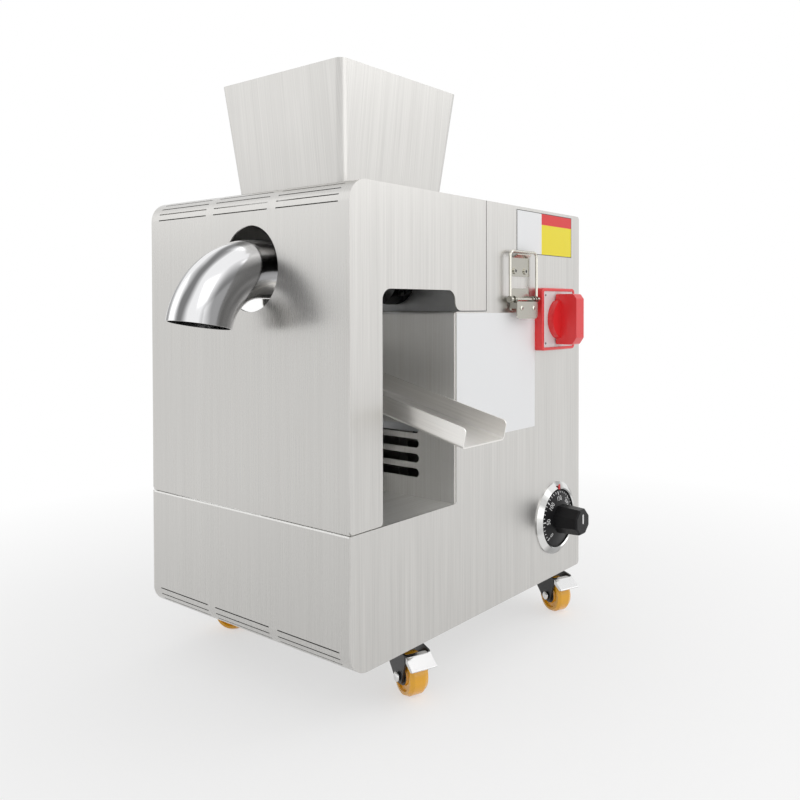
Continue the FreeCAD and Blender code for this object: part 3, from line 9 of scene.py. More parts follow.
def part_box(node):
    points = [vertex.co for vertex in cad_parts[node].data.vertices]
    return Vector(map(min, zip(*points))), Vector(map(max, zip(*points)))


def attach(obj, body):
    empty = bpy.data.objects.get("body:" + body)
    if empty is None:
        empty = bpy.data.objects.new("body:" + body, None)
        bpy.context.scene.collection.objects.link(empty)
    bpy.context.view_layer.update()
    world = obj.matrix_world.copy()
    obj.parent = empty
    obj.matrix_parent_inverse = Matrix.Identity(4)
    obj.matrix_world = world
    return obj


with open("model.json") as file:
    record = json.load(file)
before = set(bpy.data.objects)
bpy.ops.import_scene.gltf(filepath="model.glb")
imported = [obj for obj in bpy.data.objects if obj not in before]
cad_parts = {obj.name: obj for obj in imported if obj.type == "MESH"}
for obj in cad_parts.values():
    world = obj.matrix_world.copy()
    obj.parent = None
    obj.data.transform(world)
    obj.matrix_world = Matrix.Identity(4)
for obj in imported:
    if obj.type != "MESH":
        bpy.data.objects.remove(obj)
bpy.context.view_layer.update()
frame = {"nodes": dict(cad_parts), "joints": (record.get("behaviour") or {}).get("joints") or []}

bl_info = {
    "name": "Screw oil press",
    "version": (1, 0, 0),
    "blender": (4, 5, 0),
    "location": "View3D > Sidebar > Oil Press",
    "description": "Finishes, labels, dial scale, small fasteners and studio of a screw oil press",
    "category": "Object",
}

# Names of the castors' corners, and the oil chute's slope
CORNERS = ("front_right", "rear_right", "front_left", "rear_left")
SLOPE = math.radians(13.2)


# ---- shader maths ----------------------------------------------------------------------------
class Value:
    """A socket used in an expression. Each operator adds the Math node it stands for."""

    def __init__(self, nodes, socket):
        self.nodes = nodes
        self.socket = socket

    def math(self, operation, *others):
        return self.nodes.node("ShaderNodeMath", {"operation": operation}, (self,) + others)

    def __add__(self, other):
        return self.math("ADD", other)

    def __sub__(self, other):
        return self.math("SUBTRACT", other)

    def __rsub__(self, other):
        return self.nodes.node("ShaderNodeMath", {"operation": "SUBTRACT"}, (other, self))

    def __mul__(self, other):
        return self.math("MULTIPLY", other)

    def __gt__(self, other):
        return self.math("GREATER_THAN", other)

    def __abs__(self):
        return self.math("ABSOLUTE")

    def spread(self, low, high, to_low=0.0, to_high=1.0):
        """Maps low to high onto to_low to to_high, and holds the ends."""
        return self.nodes.node("ShaderNodeMapRange", {"clamp": True},
                               (self, low, high, to_low, to_high))


class Nodes:
    """A node tree written as expressions."""

    def __init__(self, tree):
        self.tree = tree

    def feed(self, socket, value):
        """Gives a socket a constant or a link."""
        if isinstance(value, Value):
            self.tree.links.new(value.socket, socket)
        else:
            socket.default_value = value

    def node(self, kind, settings=None, inputs=(), output=0):
        """Adds a node: settings first, then its sockets by name or in order."""
        made = self.tree.nodes.new(kind)
        for key, value in (settings or {}).items():
            setattr(made, key, value)
        pairs = inputs.items() if isinstance(inputs, dict) else enumerate(inputs)
        for key, value in pairs:
            self.feed(made.inputs[key], value)
        return Value(self, made.outputs[output])

    def seen(self):
        """1 on a ray of sight, direct, mirrored or through glass, and 0 on a ray of light."""
        sight = self.node("ShaderNodeLightPath", output="Is Camera Ray")
        for ray in ("Is Glossy Ray", "Is Transmission Ray"):
            sight = sight.math("MAXIMUM", self.node("ShaderNodeLightPath", output=ray))
        return sight


class Finish(Nodes):
    """One procedural material, built node by node."""

    def __init__(self, name, color, roughness, metallic=0.0, **constants):
        self.material = bpy.data.materials.new(name)
        self.material.use_nodes = True
        super().__init__(self.material.node_tree)
        self.shader = self.tree.nodes["Principled BSDF"]
        self.set("Base Color", (*color, 1.0))
        self.set("Roughness", roughness)
        self.set("Metallic", metallic)
        for socket, value in constants.items():
            self.set(socket.replace("_", " "), value)

    def set(self, socket, value):
        """Gives one of the shader's sockets a constant or a link."""
        self.feed(self.shader.inputs[socket], value)

    def place(self):
        """The point being shaded, in metres, in the piece's own frame."""
        return self.node("ShaderNodeTexCoord", output="Object")

    def along(self, direction):
        """How far the point lies along a direction."""
        settings = {"operation": "DOT_PRODUCT"}
        return self.node("ShaderNodeVectorMath", settings, (self.place(), direction), "Value")

    def facing(self, axis):
        """How squarely the surface faces along one axis, from 0 to 1."""
        normal = self.node("ShaderNodeNewGeometry", output="Normal")
        split = self.node("ShaderNodeSeparateXYZ", inputs=(normal,), output="XYZ".index(axis))
        return abs(split)

    def noise(self, vector, scale, detail=2.0, rough=0.5):
        """Noise at a point, from 0 to 1."""
        inputs = {"Vector": vector, "Scale": scale, "Detail": detail, "Roughness": rough}
        return self.node("ShaderNodeTexNoise", None, inputs)

    def vector(self, x, y, z=0.0):
        """A vector of three numbers or sockets."""
        return self.node("ShaderNodeCombineXYZ", inputs=(x, y, z))

    def blend(self, amount, first, second):
        """Mixes two colours by amount. Sockets 6, 7 and output 2 are the node's colours."""
        settings = {"data_type": "RGBA"}
        inputs = {"Factor": amount, 6: first, 7: second}
        return self.node("ShaderNodeMix", settings, inputs, 2)

    def bump(self, height, strength, distance):
        """Bends the shading normal by a height that spans a distance in metres."""
        inputs = {"Strength": strength, "Distance": distance, "Height": height}
        self.set("Normal", self.node("ShaderNodeBump", inputs=inputs))


def scaled(color, factor):
    """A colour made darker or lighter."""
    return tuple(channel * factor for channel in color)


def shade_of(color, factor):
    """A darker or lighter colour with its alpha, no channel above 1."""
    return tuple(min(1.0, channel) for channel in scaled(color, factor)) + (1.0,)


# ---- finishes --------------------------------------------------------------------------------
def brushed_steel(name, across, along, color, roughness, grain, depth, metallic=1.0):
    """Stainless sheet, ground in one direction: fine scratches, faint bands, wiped smears.

    Across is a direction, or a function of the finish where the sheet faces several ways.
    """
    finish = Finish(name, color, roughness, metallic)
    side = across(finish) if callable(across) else finish.along(across)
    run = finish.along(along)
    scratches = finish.vector(side * (1.0 / grain), run * 7.0)
    streaks = finish.vector(side * (0.16 / grain), run * 1.6)
    fine = finish.noise(scratches, 1.0, detail=3.0, rough=0.7)
    bands = finish.noise(streaks, 1.0, rough=0.55)
    smears = finish.noise(finish.place(), 11.0, detail=3.0, rough=0.6)
    tone = (fine * 0.72 + bands * 0.28).spread(0.30, 0.70)
    dark, light = shade_of(color, 1.0 - depth), shade_of(color, 1.0 + depth * 0.8)
    finish.set("Base Color", finish.blend(tone, dark, light))
    finish.set("Roughness", fine * 0.12 + smears * 0.10 + (roughness - 0.11))
    finish.bump(fine, strength=0.06, distance=0.00008)
    return finish.material


def painted_reflection_tone(finish, waves):
    """Painted reflection by the way a spot faces: soft patches, or that many streaks."""
    normal = finish.node("ShaderNodeNewGeometry", output="Normal")
    patches = finish.noise(normal, 2.6, detail=1.0, rough=0.4)
    if not waves:
        return patches.spread(0.42, 0.54)
    sideways = finish.node("ShaderNodeSeparateXYZ", inputs=(normal,))
    streaks = (sideways * (waves * math.pi) + patches * 2.4).math("SINE")
    return streaks.spread(-0.9, 0.45)


def polished_steel(name, color, roughness, contrast=0.0, waves=0.0):
    """Polished tube or plated sheet with faint buffing marks.

    Contrast darkens the colour in soft patches by the way each spot faces: painted reflection.
    Waves turns these patches into that many streaks, which run along a tube bent about X.
    """
    finish = Finish(name, color, roughness, 1.0)
    marks = finish.noise(finish.place(), 220.0, detail=4.0, rough=0.7)
    clouds = finish.noise(finish.place(), 30.0)
    if not contrast:
        tone = clouds * 0.3
    # With contrast, the tone is painted reflection set by the way each spot faces, plus a little
    # random cloud
    elif waves:
        tone = painted_reflection_tone(finish, waves)
    else:
        tone = painted_reflection_tone(finish, waves) * 0.92 + clouds * 0.08
    finish.set("Roughness", marks * 0.04 + clouds * 0.05 + (roughness - 0.03))
    dark = shade_of(color, 0.94 - contrast)
    finish.set("Base Color", finish.blend(tone, dark, shade_of(color, 1.06)))
    finish.bump(marks, strength=0.03, distance=0.0001)
    return finish.material


def turned_steel(name, color, roughness):
    """Machined steel with rings left by the tool round a shaft along Y."""
    finish = Finish(name, color, roughness, 1.0)
    run = finish.along((0.0, 1.0, 0.0))
    rings = finish.noise(finish.vector(run * 2600.0, 0.0), 1.0)
    stains = finish.noise(finish.place(), 60.0, detail=4.0, rough=0.6)
    worn = stains.spread(0.35, 0.75)
    finish.set("Base Color", finish.blend(worn, shade_of(color, 1.05), shade_of(color, 0.78)))
    finish.set("Roughness", rings * 0.12 + worn * 0.12 + (roughness - 0.1))
    finish.bump(rings, strength=0.12, distance=0.0001)
    return finish.material


def cast_paint(name, color, roughness):
    """Paint over a sand-cast surface, rubbed lighter on its high spots."""
    finish = Finish(name, color, roughness)
    skin = finish.noise(finish.place(), 900.0, detail=3.0, rough=0.6)
    patches = finish.noise(finish.place(), 40.0, detail=3.0, rough=0.6)
    dust = patches.spread(0.45, 0.8, 0.0, 0.35)
    finish.set("Base Color", finish.blend(dust, (*color, 1.0), shade_of(color, 2.2)))
    finish.set("Roughness", skin * 0.12 + (roughness - 0.06))
    finish.bump(skin, strength=0.35, distance=0.0003)
    return finish.material


def moulded_plastic(name, color, roughness, texture=0.12, coat=0.0, shine=0.5):
    """Injection-moulded plastic with a faint spark texture and handling marks."""
    finish = Finish(name, color, roughness, Coat_Weight=coat, Specular_IOR_Level=shine)
    grain = finish.noise(finish.place(), 2400.0)
    touch = finish.noise(finish.place(), 70.0, detail=4.0, rough=0.65)
    finish.set("Base Color", finish.blend(touch, shade_of(color, 0.93), shade_of(color, 1.05)))
    finish.set("Roughness", touch * 0.14 + (roughness - 0.07))
    finish.bump(grain, texture, 0.00015)
    return finish.material


def plated_sheet(name, color, roughness):
    """Zinc-plated steel with its faint cloudy bloom."""
    finish = Finish(name, color, roughness, 0.75)
    cells = finish.node("ShaderNodeTexVoronoi", {"feature": "SMOOTH_F1"},
                        {"Vector": finish.place(), "Scale": 90.0})
    clouds = finish.noise(finish.place(), 25.0, detail=3.0, rough=0.6)
    tone = cells * 0.35 + clouds * 0.65
    finish.set("Base Color", finish.blend(tone, shade_of(color, 0.86), shade_of(color, 1.08)))
    finish.set("Roughness", clouds * 0.2 + (roughness - 0.1))
    finish.bump(clouds, strength=0.05, distance=0.0004)
    return finish.material


def label_film(name, color, roughness=0.38):
    """Printed vinyl with a slight ripple from being smoothed on by hand."""
    finish = Finish(name, color, roughness, Coat_Weight=0.2)
    ripple = finish.noise(finish.place(), 45.0)
    fibre = finish.noise(finish.place(), 1500.0)
    finish.set("Base Color", finish.blend(fibre, shade_of(color, 0.97), shade_of(color, 1.0)))
    finish.set("Roughness", ripple * 0.15 + (roughness - 0.07))
    finish.bump(ripple, strength=0.08, distance=0.0006)
    return finish.material


def wound_core(name, color):
    """Stacked laminations, seen as fine lines across the motor's axis."""
    finish = Finish(name, color, 0.5, 0.8)
    run = finish.along((0.0, 1.0, 0.0))
    sheets = finish.noise(finish.vector(run * 1900.0, 0.0), 1.0, detail=1.0)
    finish.set("Base Color", finish.blend(sheets, shade_of(color, 0.6), shade_of(color, 1.15)))
    finish.bump(sheets, strength=0.3, distance=0.0002)
    return finish.material


# ---- meshes ----------------------------------------------------------------------------------
def make_piece(name, bm, material, body, smooth=False):
    """Turns a bmesh into a named piece that rides on a body."""
    bmesh.ops.recalc_face_normals(bm, faces=bm.faces)
    mesh = bpy.data.meshes.new(name)
    bm.to_mesh(mesh)
    bm.free()
    mesh.materials.append(material)
    for face in mesh.polygons:
        face.use_smooth = smooth
    if smooth:
        mesh.set_sharp_from_angle(angle=math.radians(35.0))
    piece = bpy.data.objects.new(name, mesh)
    bpy.context.scene.collection.objects.link(piece)
    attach(piece, body)
    return piece


def rounded_outline(width, height, radius, steps=5):
    """Points of a rectangle with rounded corners, centred on the origin."""
    points = []
    for turn in range(4):
        sx = 1 if turn in (0, 3) else -1
        sy = 1 if turn in (0, 1) else -1
        centre = (sx * (width / 2 - radius), sy * (height / 2 - radius))
        for step in range(steps + 1):
            angle = math.radians(90 * turn + 90 * step / steps)
            points.append((centre[0] + radius * math.cos(angle),
                           centre[1] + radius * math.sin(angle)))
    return points


def add_plate(bm, outline, thickness, matrix):
    """Adds a plate that stands on the local XY plane."""
    low, high = ([bm.verts.new(matrix @ Vector((x, y, z))) for x, y in outline]
                 for z in (0.0, thickness))
    for i in range(len(low)):
        j = (i + 1) % len(low)
        bm.faces.new((low[i], low[j], high[j], high[i]))
    bm.faces.new(low[::-1])
    bm.faces.new(high)


def add_lathe(bm, profile, matrix, segments=32):
    """Adds a body turned about the local Z axis from (radius, height) points."""
    rings = []
    for radius, height in profile:
        if radius < 1e-9:
            rings.append([bm.verts.new(matrix @ Vector((0, 0, height)))])
            continue
        ring = []
        for step in range(segments):
            angle = 2 * math.pi * step / segments
            point = Vector((radius * math.cos(angle), radius * math.sin(angle), height))
            ring.append(bm.verts.new(matrix @ point))
        rings.append(ring)
    for low, high in zip(rings, rings[1:]):
        for i in range(segments):
            j = (i + 1) % segments
            corners = (low[i % len(low)], low[j % len(low)], high[j % len(high)],
                       high[i % len(high)])
            unique = list(dict.fromkeys(corners))
            if len(unique) > 2:
                bm.faces.new(unique)


def outward(point, direction):
    """Matrix whose local Z points along a direction from a point, with X kept level."""
    z = Vector(direction).normalized()
    x = Vector((0, 0, 1)).cross(z)
    if x.length < 1e-6:
        x = Vector((1, 0, 0))
    x.normalize()
    y = z.cross(x)
    turn = Matrix((x, y, z)).transposed().to_4x4()
    return Matrix.Translation(point) @ turn


# Profile of a domed screw head: radius and height as shares of the head's radius
DOME = ((1.0, 0.0), (0.98, 0.16), (0.78, 0.36), (0.45, 0.47), (0.0, 0.5))


def add_screw_head(bm, matrix, radius):
    """Adds a low domed head."""
    add_lathe(bm, [(radius * out, radius * up) for out, up in DOME], matrix, 24)


def add_recess_shade_cross(bm, matrix, radius):
    """Adds a dark cross just proud of the dome: painted shade for a screw's cross recess."""
    arm = rounded_outline(radius * 0.95, radius * 0.2, radius * 0.08, 2)
    for turn in (20.0, 110.0):
        spin = matrix @ Matrix.Rotation(math.radians(turn), 4, "Z")
        lift = spin @ Matrix.Translation((0, 0, radius * 0.40))
        add_plate(bm, arm, radius * 0.115, lift)


def add_number(bm, text, height, angle, radius, surface):
    """Adds a printed number, bent round the dial, its foot towards the centre."""
    curve = bpy.data.curves.new("number_shape", "FONT")
    curve.body = text
    curve.size = height
    curve.align_x = "CENTER"
    shape = bpy.data.objects.new("number_shape", curve)
    bpy.context.scene.collection.objects.link(shape)
    bpy.context.view_layer.update()
    mesh = bpy.data.meshes.new_from_object(shape)
    verts = []
    for vertex in mesh.vertices:
        reach = radius + vertex.co.y
        verts.append(bm.verts.new(surface(angle + vertex.co.x / reach, reach)))
    for face in mesh.polygons:
        bm.faces.new([verts[i] for i in face.vertices])
    bpy.data.objects.remove(shape)
    bpy.data.curves.remove(curve)
    bpy.data.meshes.remove(mesh)


def paint(material, *nodes):
    """Gives CAD nodes a finish."""
    for name in nodes:
        node = frame["nodes"][name]
        if not node.material_slots:
            node.data.materials.append(material)
        for slot in node.material_slots:
            slot.material = material


def middle_of(node):
    """Middle of a node's box."""
    low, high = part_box(node)
    return (Vector(low) + Vector(high)) / 2


def joint_named(name):
    """The record of one joint."""
    return next(joint for joint in frame["joints"] if joint["name"] == name)


# ---- settings --------------------------------------------------------------------------------
class SteelSettings(bpy.types.PropertyGroup):
    """The casing's ground stainless sheet."""

    color: bpy.props.FloatVectorProperty(
        name="Sheet colour", description="Colour of the stainless sheet", subtype="COLOR",
        size=3, min=0.0, max=1.0, default=(0.63, 0.62, 0.60))
    roughness: bpy.props.FloatProperty(
        name="Roughness", description="How matt the ground sheet is", min=0.1, max=0.8,
        default=0.36)
    grain: bpy.props.FloatProperty(
        name="Grain width", description="Width of one scratch of the grinding", min=0.0002,
        max=0.01, default=0.0012, unit="LENGTH")
    depth: bpy.props.FloatProperty(
        name="Grain contrast", description="How much darker and lighter the streaks are",
        min=0.0, max=0.5, default=0.12)


class ColorSettings(bpy.types.PropertyGroup):
    """Colours of the moulded and painted pieces."""

    switch_red: bpy.props.FloatVectorProperty(
        name="Switch red", description="Colour of the rotary switch", subtype="COLOR", size=3,
        min=0.0, max=1.0, default=(0.86, 0.030, 0.035))
    wheel_orange: bpy.props.FloatVectorProperty(
        name="Wheel orange", description="Colour of the castor wheels", subtype="COLOR", size=3,
        min=0.0, max=1.0, default=(0.98, 0.47, 0.012))
    label_red: bpy.props.FloatVectorProperty(
        name="Label red", description="Colour of the notice label's band", subtype="COLOR",
        size=3, min=0.0, max=1.0, default=(0.80, 0.020, 0.024))
    label_yellow: bpy.props.FloatVectorProperty(
        name="Label yellow", description="Colour of the notice label's field", subtype="COLOR",
        size=3, min=0.0, max=1.0, default=(0.95, 0.80, 0.01))


class DialSettings(bpy.types.PropertyGroup):
    """The heat dial's printed scale."""

    top_number: bpy.props.IntProperty(
        name="Highest number", description="Number at the end of the scale", min=60, max=400,
        default=300)
    number_step: bpy.props.IntProperty(
        name="Number step", description="Difference between two printed numbers", min=10,
        max=100, default=50)
    sweep: bpy.props.FloatProperty(
        name="Sweep", description="Angle that the scale covers", subtype="ANGLE",
        min=math.radians(90.0), max=math.radians(330.0), default=math.radians(270.0))
    number_height: bpy.props.FloatProperty(
        name="Number height", description="Height of the printed numbers", min=0.001,
        max=0.01, default=0.0064, unit="LENGTH")


class StageSettings(bpy.types.PropertyGroup):
    """Camera, floor and lamps."""

    camera_place: bpy.props.FloatVectorProperty(
        name="Camera place", description="Where the camera stands", subtype="TRANSLATION",
        size=3, default=(0.5826, -0.5961, 0.3321), unit="LENGTH")
    camera_turn: bpy.props.FloatProperty(
        name="Camera turn", description="Turn of the camera about the vertical",
        subtype="ANGLE", default=math.radians(35.80))
    camera_dip: bpy.props.FloatProperty(
        name="Camera dip", description="How far the camera looks down", subtype="ANGLE",
        default=math.radians(0.888))
    lens: bpy.props.FloatProperty(
        name="Lens", description="Focal length on a 36 mm sensor, in millimetres", min=10.0,
        max=300.0, default=35.9)
    camera_shift: bpy.props.FloatVectorProperty(
        name="Camera shift", description="Shift of the view across and up, in view widths",
        size=2, default=(-0.1263, -0.1015))
    floor_color: bpy.props.FloatVectorProperty(
        name="Floor colour", description="Colour of the floor", subtype="COLOR", size=3,
        min=0.0, max=1.0, default=(0.93, 0.93, 0.93))
    lamp_power: bpy.props.FloatProperty(
        name="Lamp power", description="Power of the key lamp in watts", min=0.0, max=200.0,
        default=16.0)
    world_light: bpy.props.FloatProperty(
        name="World light", description="Strength of the white surroundings as light", min=0.0,
        max=1.0, default=0.55)


# ---- pieces ----------------------------------------------------------------------------------
class PRESS_OT_casing(bpy.types.Operator):
    """Grind the casing's sheets, each along its own length"""

    bl_idname = "press.casing"
    bl_label = "Casing sheets"

    def execute(self, context):
        steel = context.scene.press_steel
        color = tuple(steel.color)
        rough, grain, depth = steel.roughness, steel.grain, steel.depth
        # Painted shade: the wrap is the same steel painted 6% darker, for the front's shade
        wrap = brushed_steel("ground_wrap_painted_shade", (1, 0, 0), (0, 1, -1), scaled(color, 0.94),
                             rough - 0.08, grain * 0.7, depth * 0.5)
        side = brushed_steel("ground_side", (0, 1, 0), (0, 0, 1), color, rough, grain, depth)
        flat = brushed_steel("ground_flat", (1, 0, 0), (0, 1, 1), color, rough, grain,
                             depth * 0.7)
        # Painted light: the inner sheets are the same steel made 1.5 times lighter, against the
        # shade inside the casing
        inner = brushed_steel("ground_inner_painted_light", (1, 0, 0), (0, 1, 1), scaled(color, 1.5),
                              rough + 0.08, grain, depth, metallic=0.8)
        paint(wrap, "hood_wrap", "base_wrap", "roof_panel")
        paint(side, "hood_right_side", "hood_left_side", "right_side_panel", "left_side_panel")
        paint(flat, "rear_cover", "drive_stand")
        paint(inner, "base_deck", "partition_panel", "chute_bracket")
        zinc = plated_sheet("zinc_bloom", (0.80, 0.81, 0.82), 0.42)
        paint(zinc, "bulkhead_plate")
        return {"FINISHED"}


class PRESS_OT_hopper(bpy.types.Operator):
    """Grind the hopper's walls up and down and its floor towards the spout"""

    bl_idname = "press.hopper"
    bl_label = "Hopper"

    def execute(self, context):
        steel = context.scene.press_steel

        def across(finish):
            """Along Y on the walls that face sideways, along X on the others."""
            mask = finish.facing("X") > 0.7
            return finish.along((1, 0, 0)) * (1 - mask) + finish.along((0, 1, 0)) * mask

        sheet = brushed_steel("ground_hopper", across, (0, 0, 1), tuple(steel.color),
                              steel.roughness - 0.02, steel.grain, steel.depth)
        paint(sheet, "hopper_shell", "hopper_funnel")
        return {"FINISHED"}


class PRESS_OT_chute(bpy.types.Operator):
    """Grind the oil chute along its length"""

    bl_idname = "press.chute"
    bl_label = "Oil chute"

    def execute(self, context):
        steel = context.scene.press_steel
        along = (math.cos(SLOPE), 0, -math.sin(SLOPE))
        across = (math.sin(SLOPE), 1, math.cos(SLOPE))
        # Painted light: the chute is the same steel made 1.45 times lighter, against the shade
        # inside the casing
        sheet = brushed_steel("ground_chute_painted_light", across, along, scaled(steel.color, 1.45),
                              steel.roughness, steel.grain, steel.depth * 0.8, metallic=0.85)
        paint(sheet, "oil_chute")
        return {"FINISHED"}


class PRESS_OT_elbow(bpy.types.Operator):
    """Polish the cake elbow"""

    bl_idname = "press.elbow"
    bl_label = "Cake elbow"

    def execute(self, context):
        # Painted reflection: dark and light streaks along the bend, set by the way each spot faces
        tube = polished_steel("polished_tube", (0.80, 0.80, 0.81), 0.12, contrast=0.70,
                              waves=3.0)
        paint(tube, "outlet_elbow")
        return {"FINISHED"}


class PRESS_OT_press_line(bpy.types.Operator):
    """Finish the cage, the feed body, the screw and the bearing neck"""

    bl_idname = "press.press_line"
    bl_label = "Press line"

    def execute(self, context):
        turned = turned_steel("turned_steel", (0.60, 0.60, 0.61), 0.34)
        paint(turned, "press_cage", "cake_nozzle", "press_screw", "feed_body")
        paint(cast_paint("blackened_neck", (0.012, 0.012, 0.013), 0.42), "drive_neck")
        paint(polished_steel("bright_band", (0.72, 0.72, 0.73), 0.22), "heater_band")
        paint(polished_steel("zinc_screws", (0.70, 0.70, 0.68), 0.28), "flange_bolts")
        return {"FINISHED"}


class PRESS_OT_drive(bpy.types.Operator):
    """Finish the motor, the gear case, the gears and the bearings"""

    bl_idname = "press.drive"
    bl_label = "Motor and gears"

    def execute(self, context):
        cast = cast_paint("grey_casting", (0.10, 0.105, 0.11), 0.52)
        paint(cast, "gearbox_housing", "gearbox_cover", "motor_housing", "fan_cowl")
        gears = turned_steel("cut_gears", (0.55, 0.55, 0.56), 0.30)
        paint(gears, "output_gear", "layshaft_gear", "layshaft_pinion", "shaft_bearings",
              "motor_rotor")
        paint(wound_core("stacked_core", (0.40, 0.32, 0.26)), "motor_stator")
        paint(moulded_plastic("grey_fan", (0.16, 0.16, 0.17), 0.5), "motor_fan")
        return {"FINISHED"}


# The switch's white face, in metres
SWITCH_RIM = 0.0032  # red rim left round it
SWITCH_RECESS = 0.0012  # how far it lies behind the rim
SWITCH_FACE = 0.0003  # its thickness
SCREW_INSET = 0.0042  # from its edges to a screw


class PRESS_OT_switch(bpy.types.Operator):
    """Mould the rotary switch in red and lay its white face with two small screws"""

    bl_idname = "press.switch"
    bl_label = "Rotary switch"

    def execute(self, context):
        colors = context.scene.press_colors
        red = moulded_plastic("switch_red", tuple(colors.switch_red), 0.30, texture=0.05,
                              coat=0.25)
        paint(red, "switch_knob", "switch_plate")
        paint(moulded_plastic("contact_block", (0.55, 0.55, 0.52), 0.5), "switch_body")
        low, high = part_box("switch_plate")
        centre = middle_of("switch_plate")
        size = high[1] - low[1] - 2 * SWITCH_RIM
        recess = high[0] - SWITCH_RECESS
        white = moulded_plastic("switch_face", (0.80, 0.80, 0.80), 0.35)
        bm = bmesh.new()
        place = outward((recess, centre.y, centre.z), (1, 0, 0))
        add_plate(bm, rounded_outline(size, size, 0.0019), SWITCH_FACE, place)
        make_piece("switch_face_plate", bm, white, "casing")
        dark = moulded_plastic("switch_marks", (0.03, 0.03, 0.03), 0.5)
        bm = bmesh.new()
        reach = size / 2 - SCREW_INSET
        for side_y, side_z in ((-1, 1), (-1, -1)):
            point = (recess + SWITCH_FACE, centre.y + side_y * reach, centre.z + side_z * reach)
            add_lathe(bm, [(0.0011, 0.0), (0.0011, 0.0001), (0.0, 0.0001)],
                      outward(point, (1, 0, 0)), 16)
        make_piece("switch_face_dots", bm, dark, "casing")
        return {"FINISHED"}


# The knob's skirt and the print on it, in metres
SKIRT_GAP = 0.0005  # between the scale plate and the knob
SKIRT_RISE = (0.001, 0.005)  # height of the slope at the rim and at its top
SKIRT_TOP = 0.014  # radius where the slope ends
PRINT_LIFT = 0.0001
TICKS_PER_NUMBER = 5
TICK_INSET = 0.0006  # from the rim to a tick's outer end
LONG_TICK = (0.0042, 0.00058)  # from the rim to its inner end, half its width
SHORT_TICK = (0.0026, 0.00038)
NUMBER_INSET = 0.0098  # from the rim to a number's foot


class PRESS_OT_dial(bpy.types.Operator):
    """Print the heat dial: ticks and plain numbers on the skirt, a pointer on the ring"""

    bl_idname = "press.dial"
    bl_label = "Heat dial"

    def execute(self, context):
        dial = context.scene.press_dial
        # The bezel's colour carries painted reflection, darker in patches by the way it faces
        bezel = polished_steel("dial_bezel_painted_reflection", (0.74, 0.74, 0.73), 0.14, contrast=0.45)
        paint(bezel, "dial_ring")
        black = moulded_plastic("dial_black", (0.006, 0.006, 0.007), 0.36, texture=0.06,
                                shine=0.22)
        paint(black, "dial_backplate", "thermostat_knob")
        paint(polished_steel("thermostat_can", (0.55, 0.54, 0.50), 0.35), "thermostat_body")
        centre = Vector(joint_named("heat_turn")["pos_m"])
        low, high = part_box("thermostat_knob")
        rim = (high[1] - low[1]) / 2
        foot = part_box("dial_backplate")[1][0] + SKIRT_GAP
        rise_start, rise_end = (foot + rise for rise in SKIRT_RISE)
        count = dial.top_number // dial.number_step * TICKS_PER_NUMBER

        def on_skirt(angle, radius):
            """Point just above the sloping skirt, by its angle from the top."""
            share = (rim - radius) / (rim - SKIRT_TOP)
            x = rise_start + (rise_end - rise_start) * share + PRINT_LIFT
            return Vector((x, centre.y + radius * math.sin(angle),
                           centre.z + radius * math.cos(angle)))

        def angle_of(step):
            return -dial.sweep / 2 + dial.sweep * step / count

        white = label_film("scale_white", (0.88, 0.88, 0.88), 0.5)
        bm = bmesh.new()
        for step in range(count + 1):
            length, half = SHORT_TICK if step % TICKS_PER_NUMBER else LONG_TICK
            outer, inner = rim - TICK_INSET, rim - length
            corners = ((outer, -1), (outer, 1), (inner, 1), (inner, -1))
            bm.faces.new([bm.verts.new(on_skirt(angle_of(step) + side * half / radius, radius))
                          for radius, side in corners])
        for step in range(0, count + 1, TICKS_PER_NUMBER):
            number = str(step // TICKS_PER_NUMBER * dial.number_step)
            add_number(bm, number, dial.number_height, angle_of(step), rim - NUMBER_INSET,
                       on_skirt)
        make_piece("dial_scale_print", bm, white, "heat_knob")
        bm = bmesh.new()
        mark = (high[0], centre.y, centre.z + 0.003)
        add_plate(bm, rounded_outline(0.0024, 0.0100, 0.0010), 0.0002, outward(mark, (1, 0, 0)))
        make_piece("dial_knob_mark", bm, white, "heat_knob")
        low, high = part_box("dial_ring")
        red = moulded_plastic("pointer_red", (0.70, 0.01, 0.012), 0.4)
        bm = bmesh.new()
        point = (high[0] - 0.0003, centre.y, centre.z + (high[1] - low[1]) / 2 - 0.0046)
        add_plate(bm, rounded_outline(0.0030, 0.0052, 0.0006), 0.0006, outward(point, (1, 0, 0)))
        make_piece("dial_pointer", bm, red, "casing")
        return {"FINISHED"}


# The latch's fasteners, in metres: from the middle, up from the piece's foot, head radius
RIVET_SPREAD, RIVET_RISE, RIVET_HEAD = 0.0105, 0.0105, 0.0023
KEEPER_SPREAD, KEEPER_RISE, KEEPER_HEAD = 0.009, 0.0055, 0.0032
KEEPER_FACE = 0.0026  # front of the keeper's screws
KEEPER_SINK = 0.0013  # takes back a cross's lift, as these heads are flat


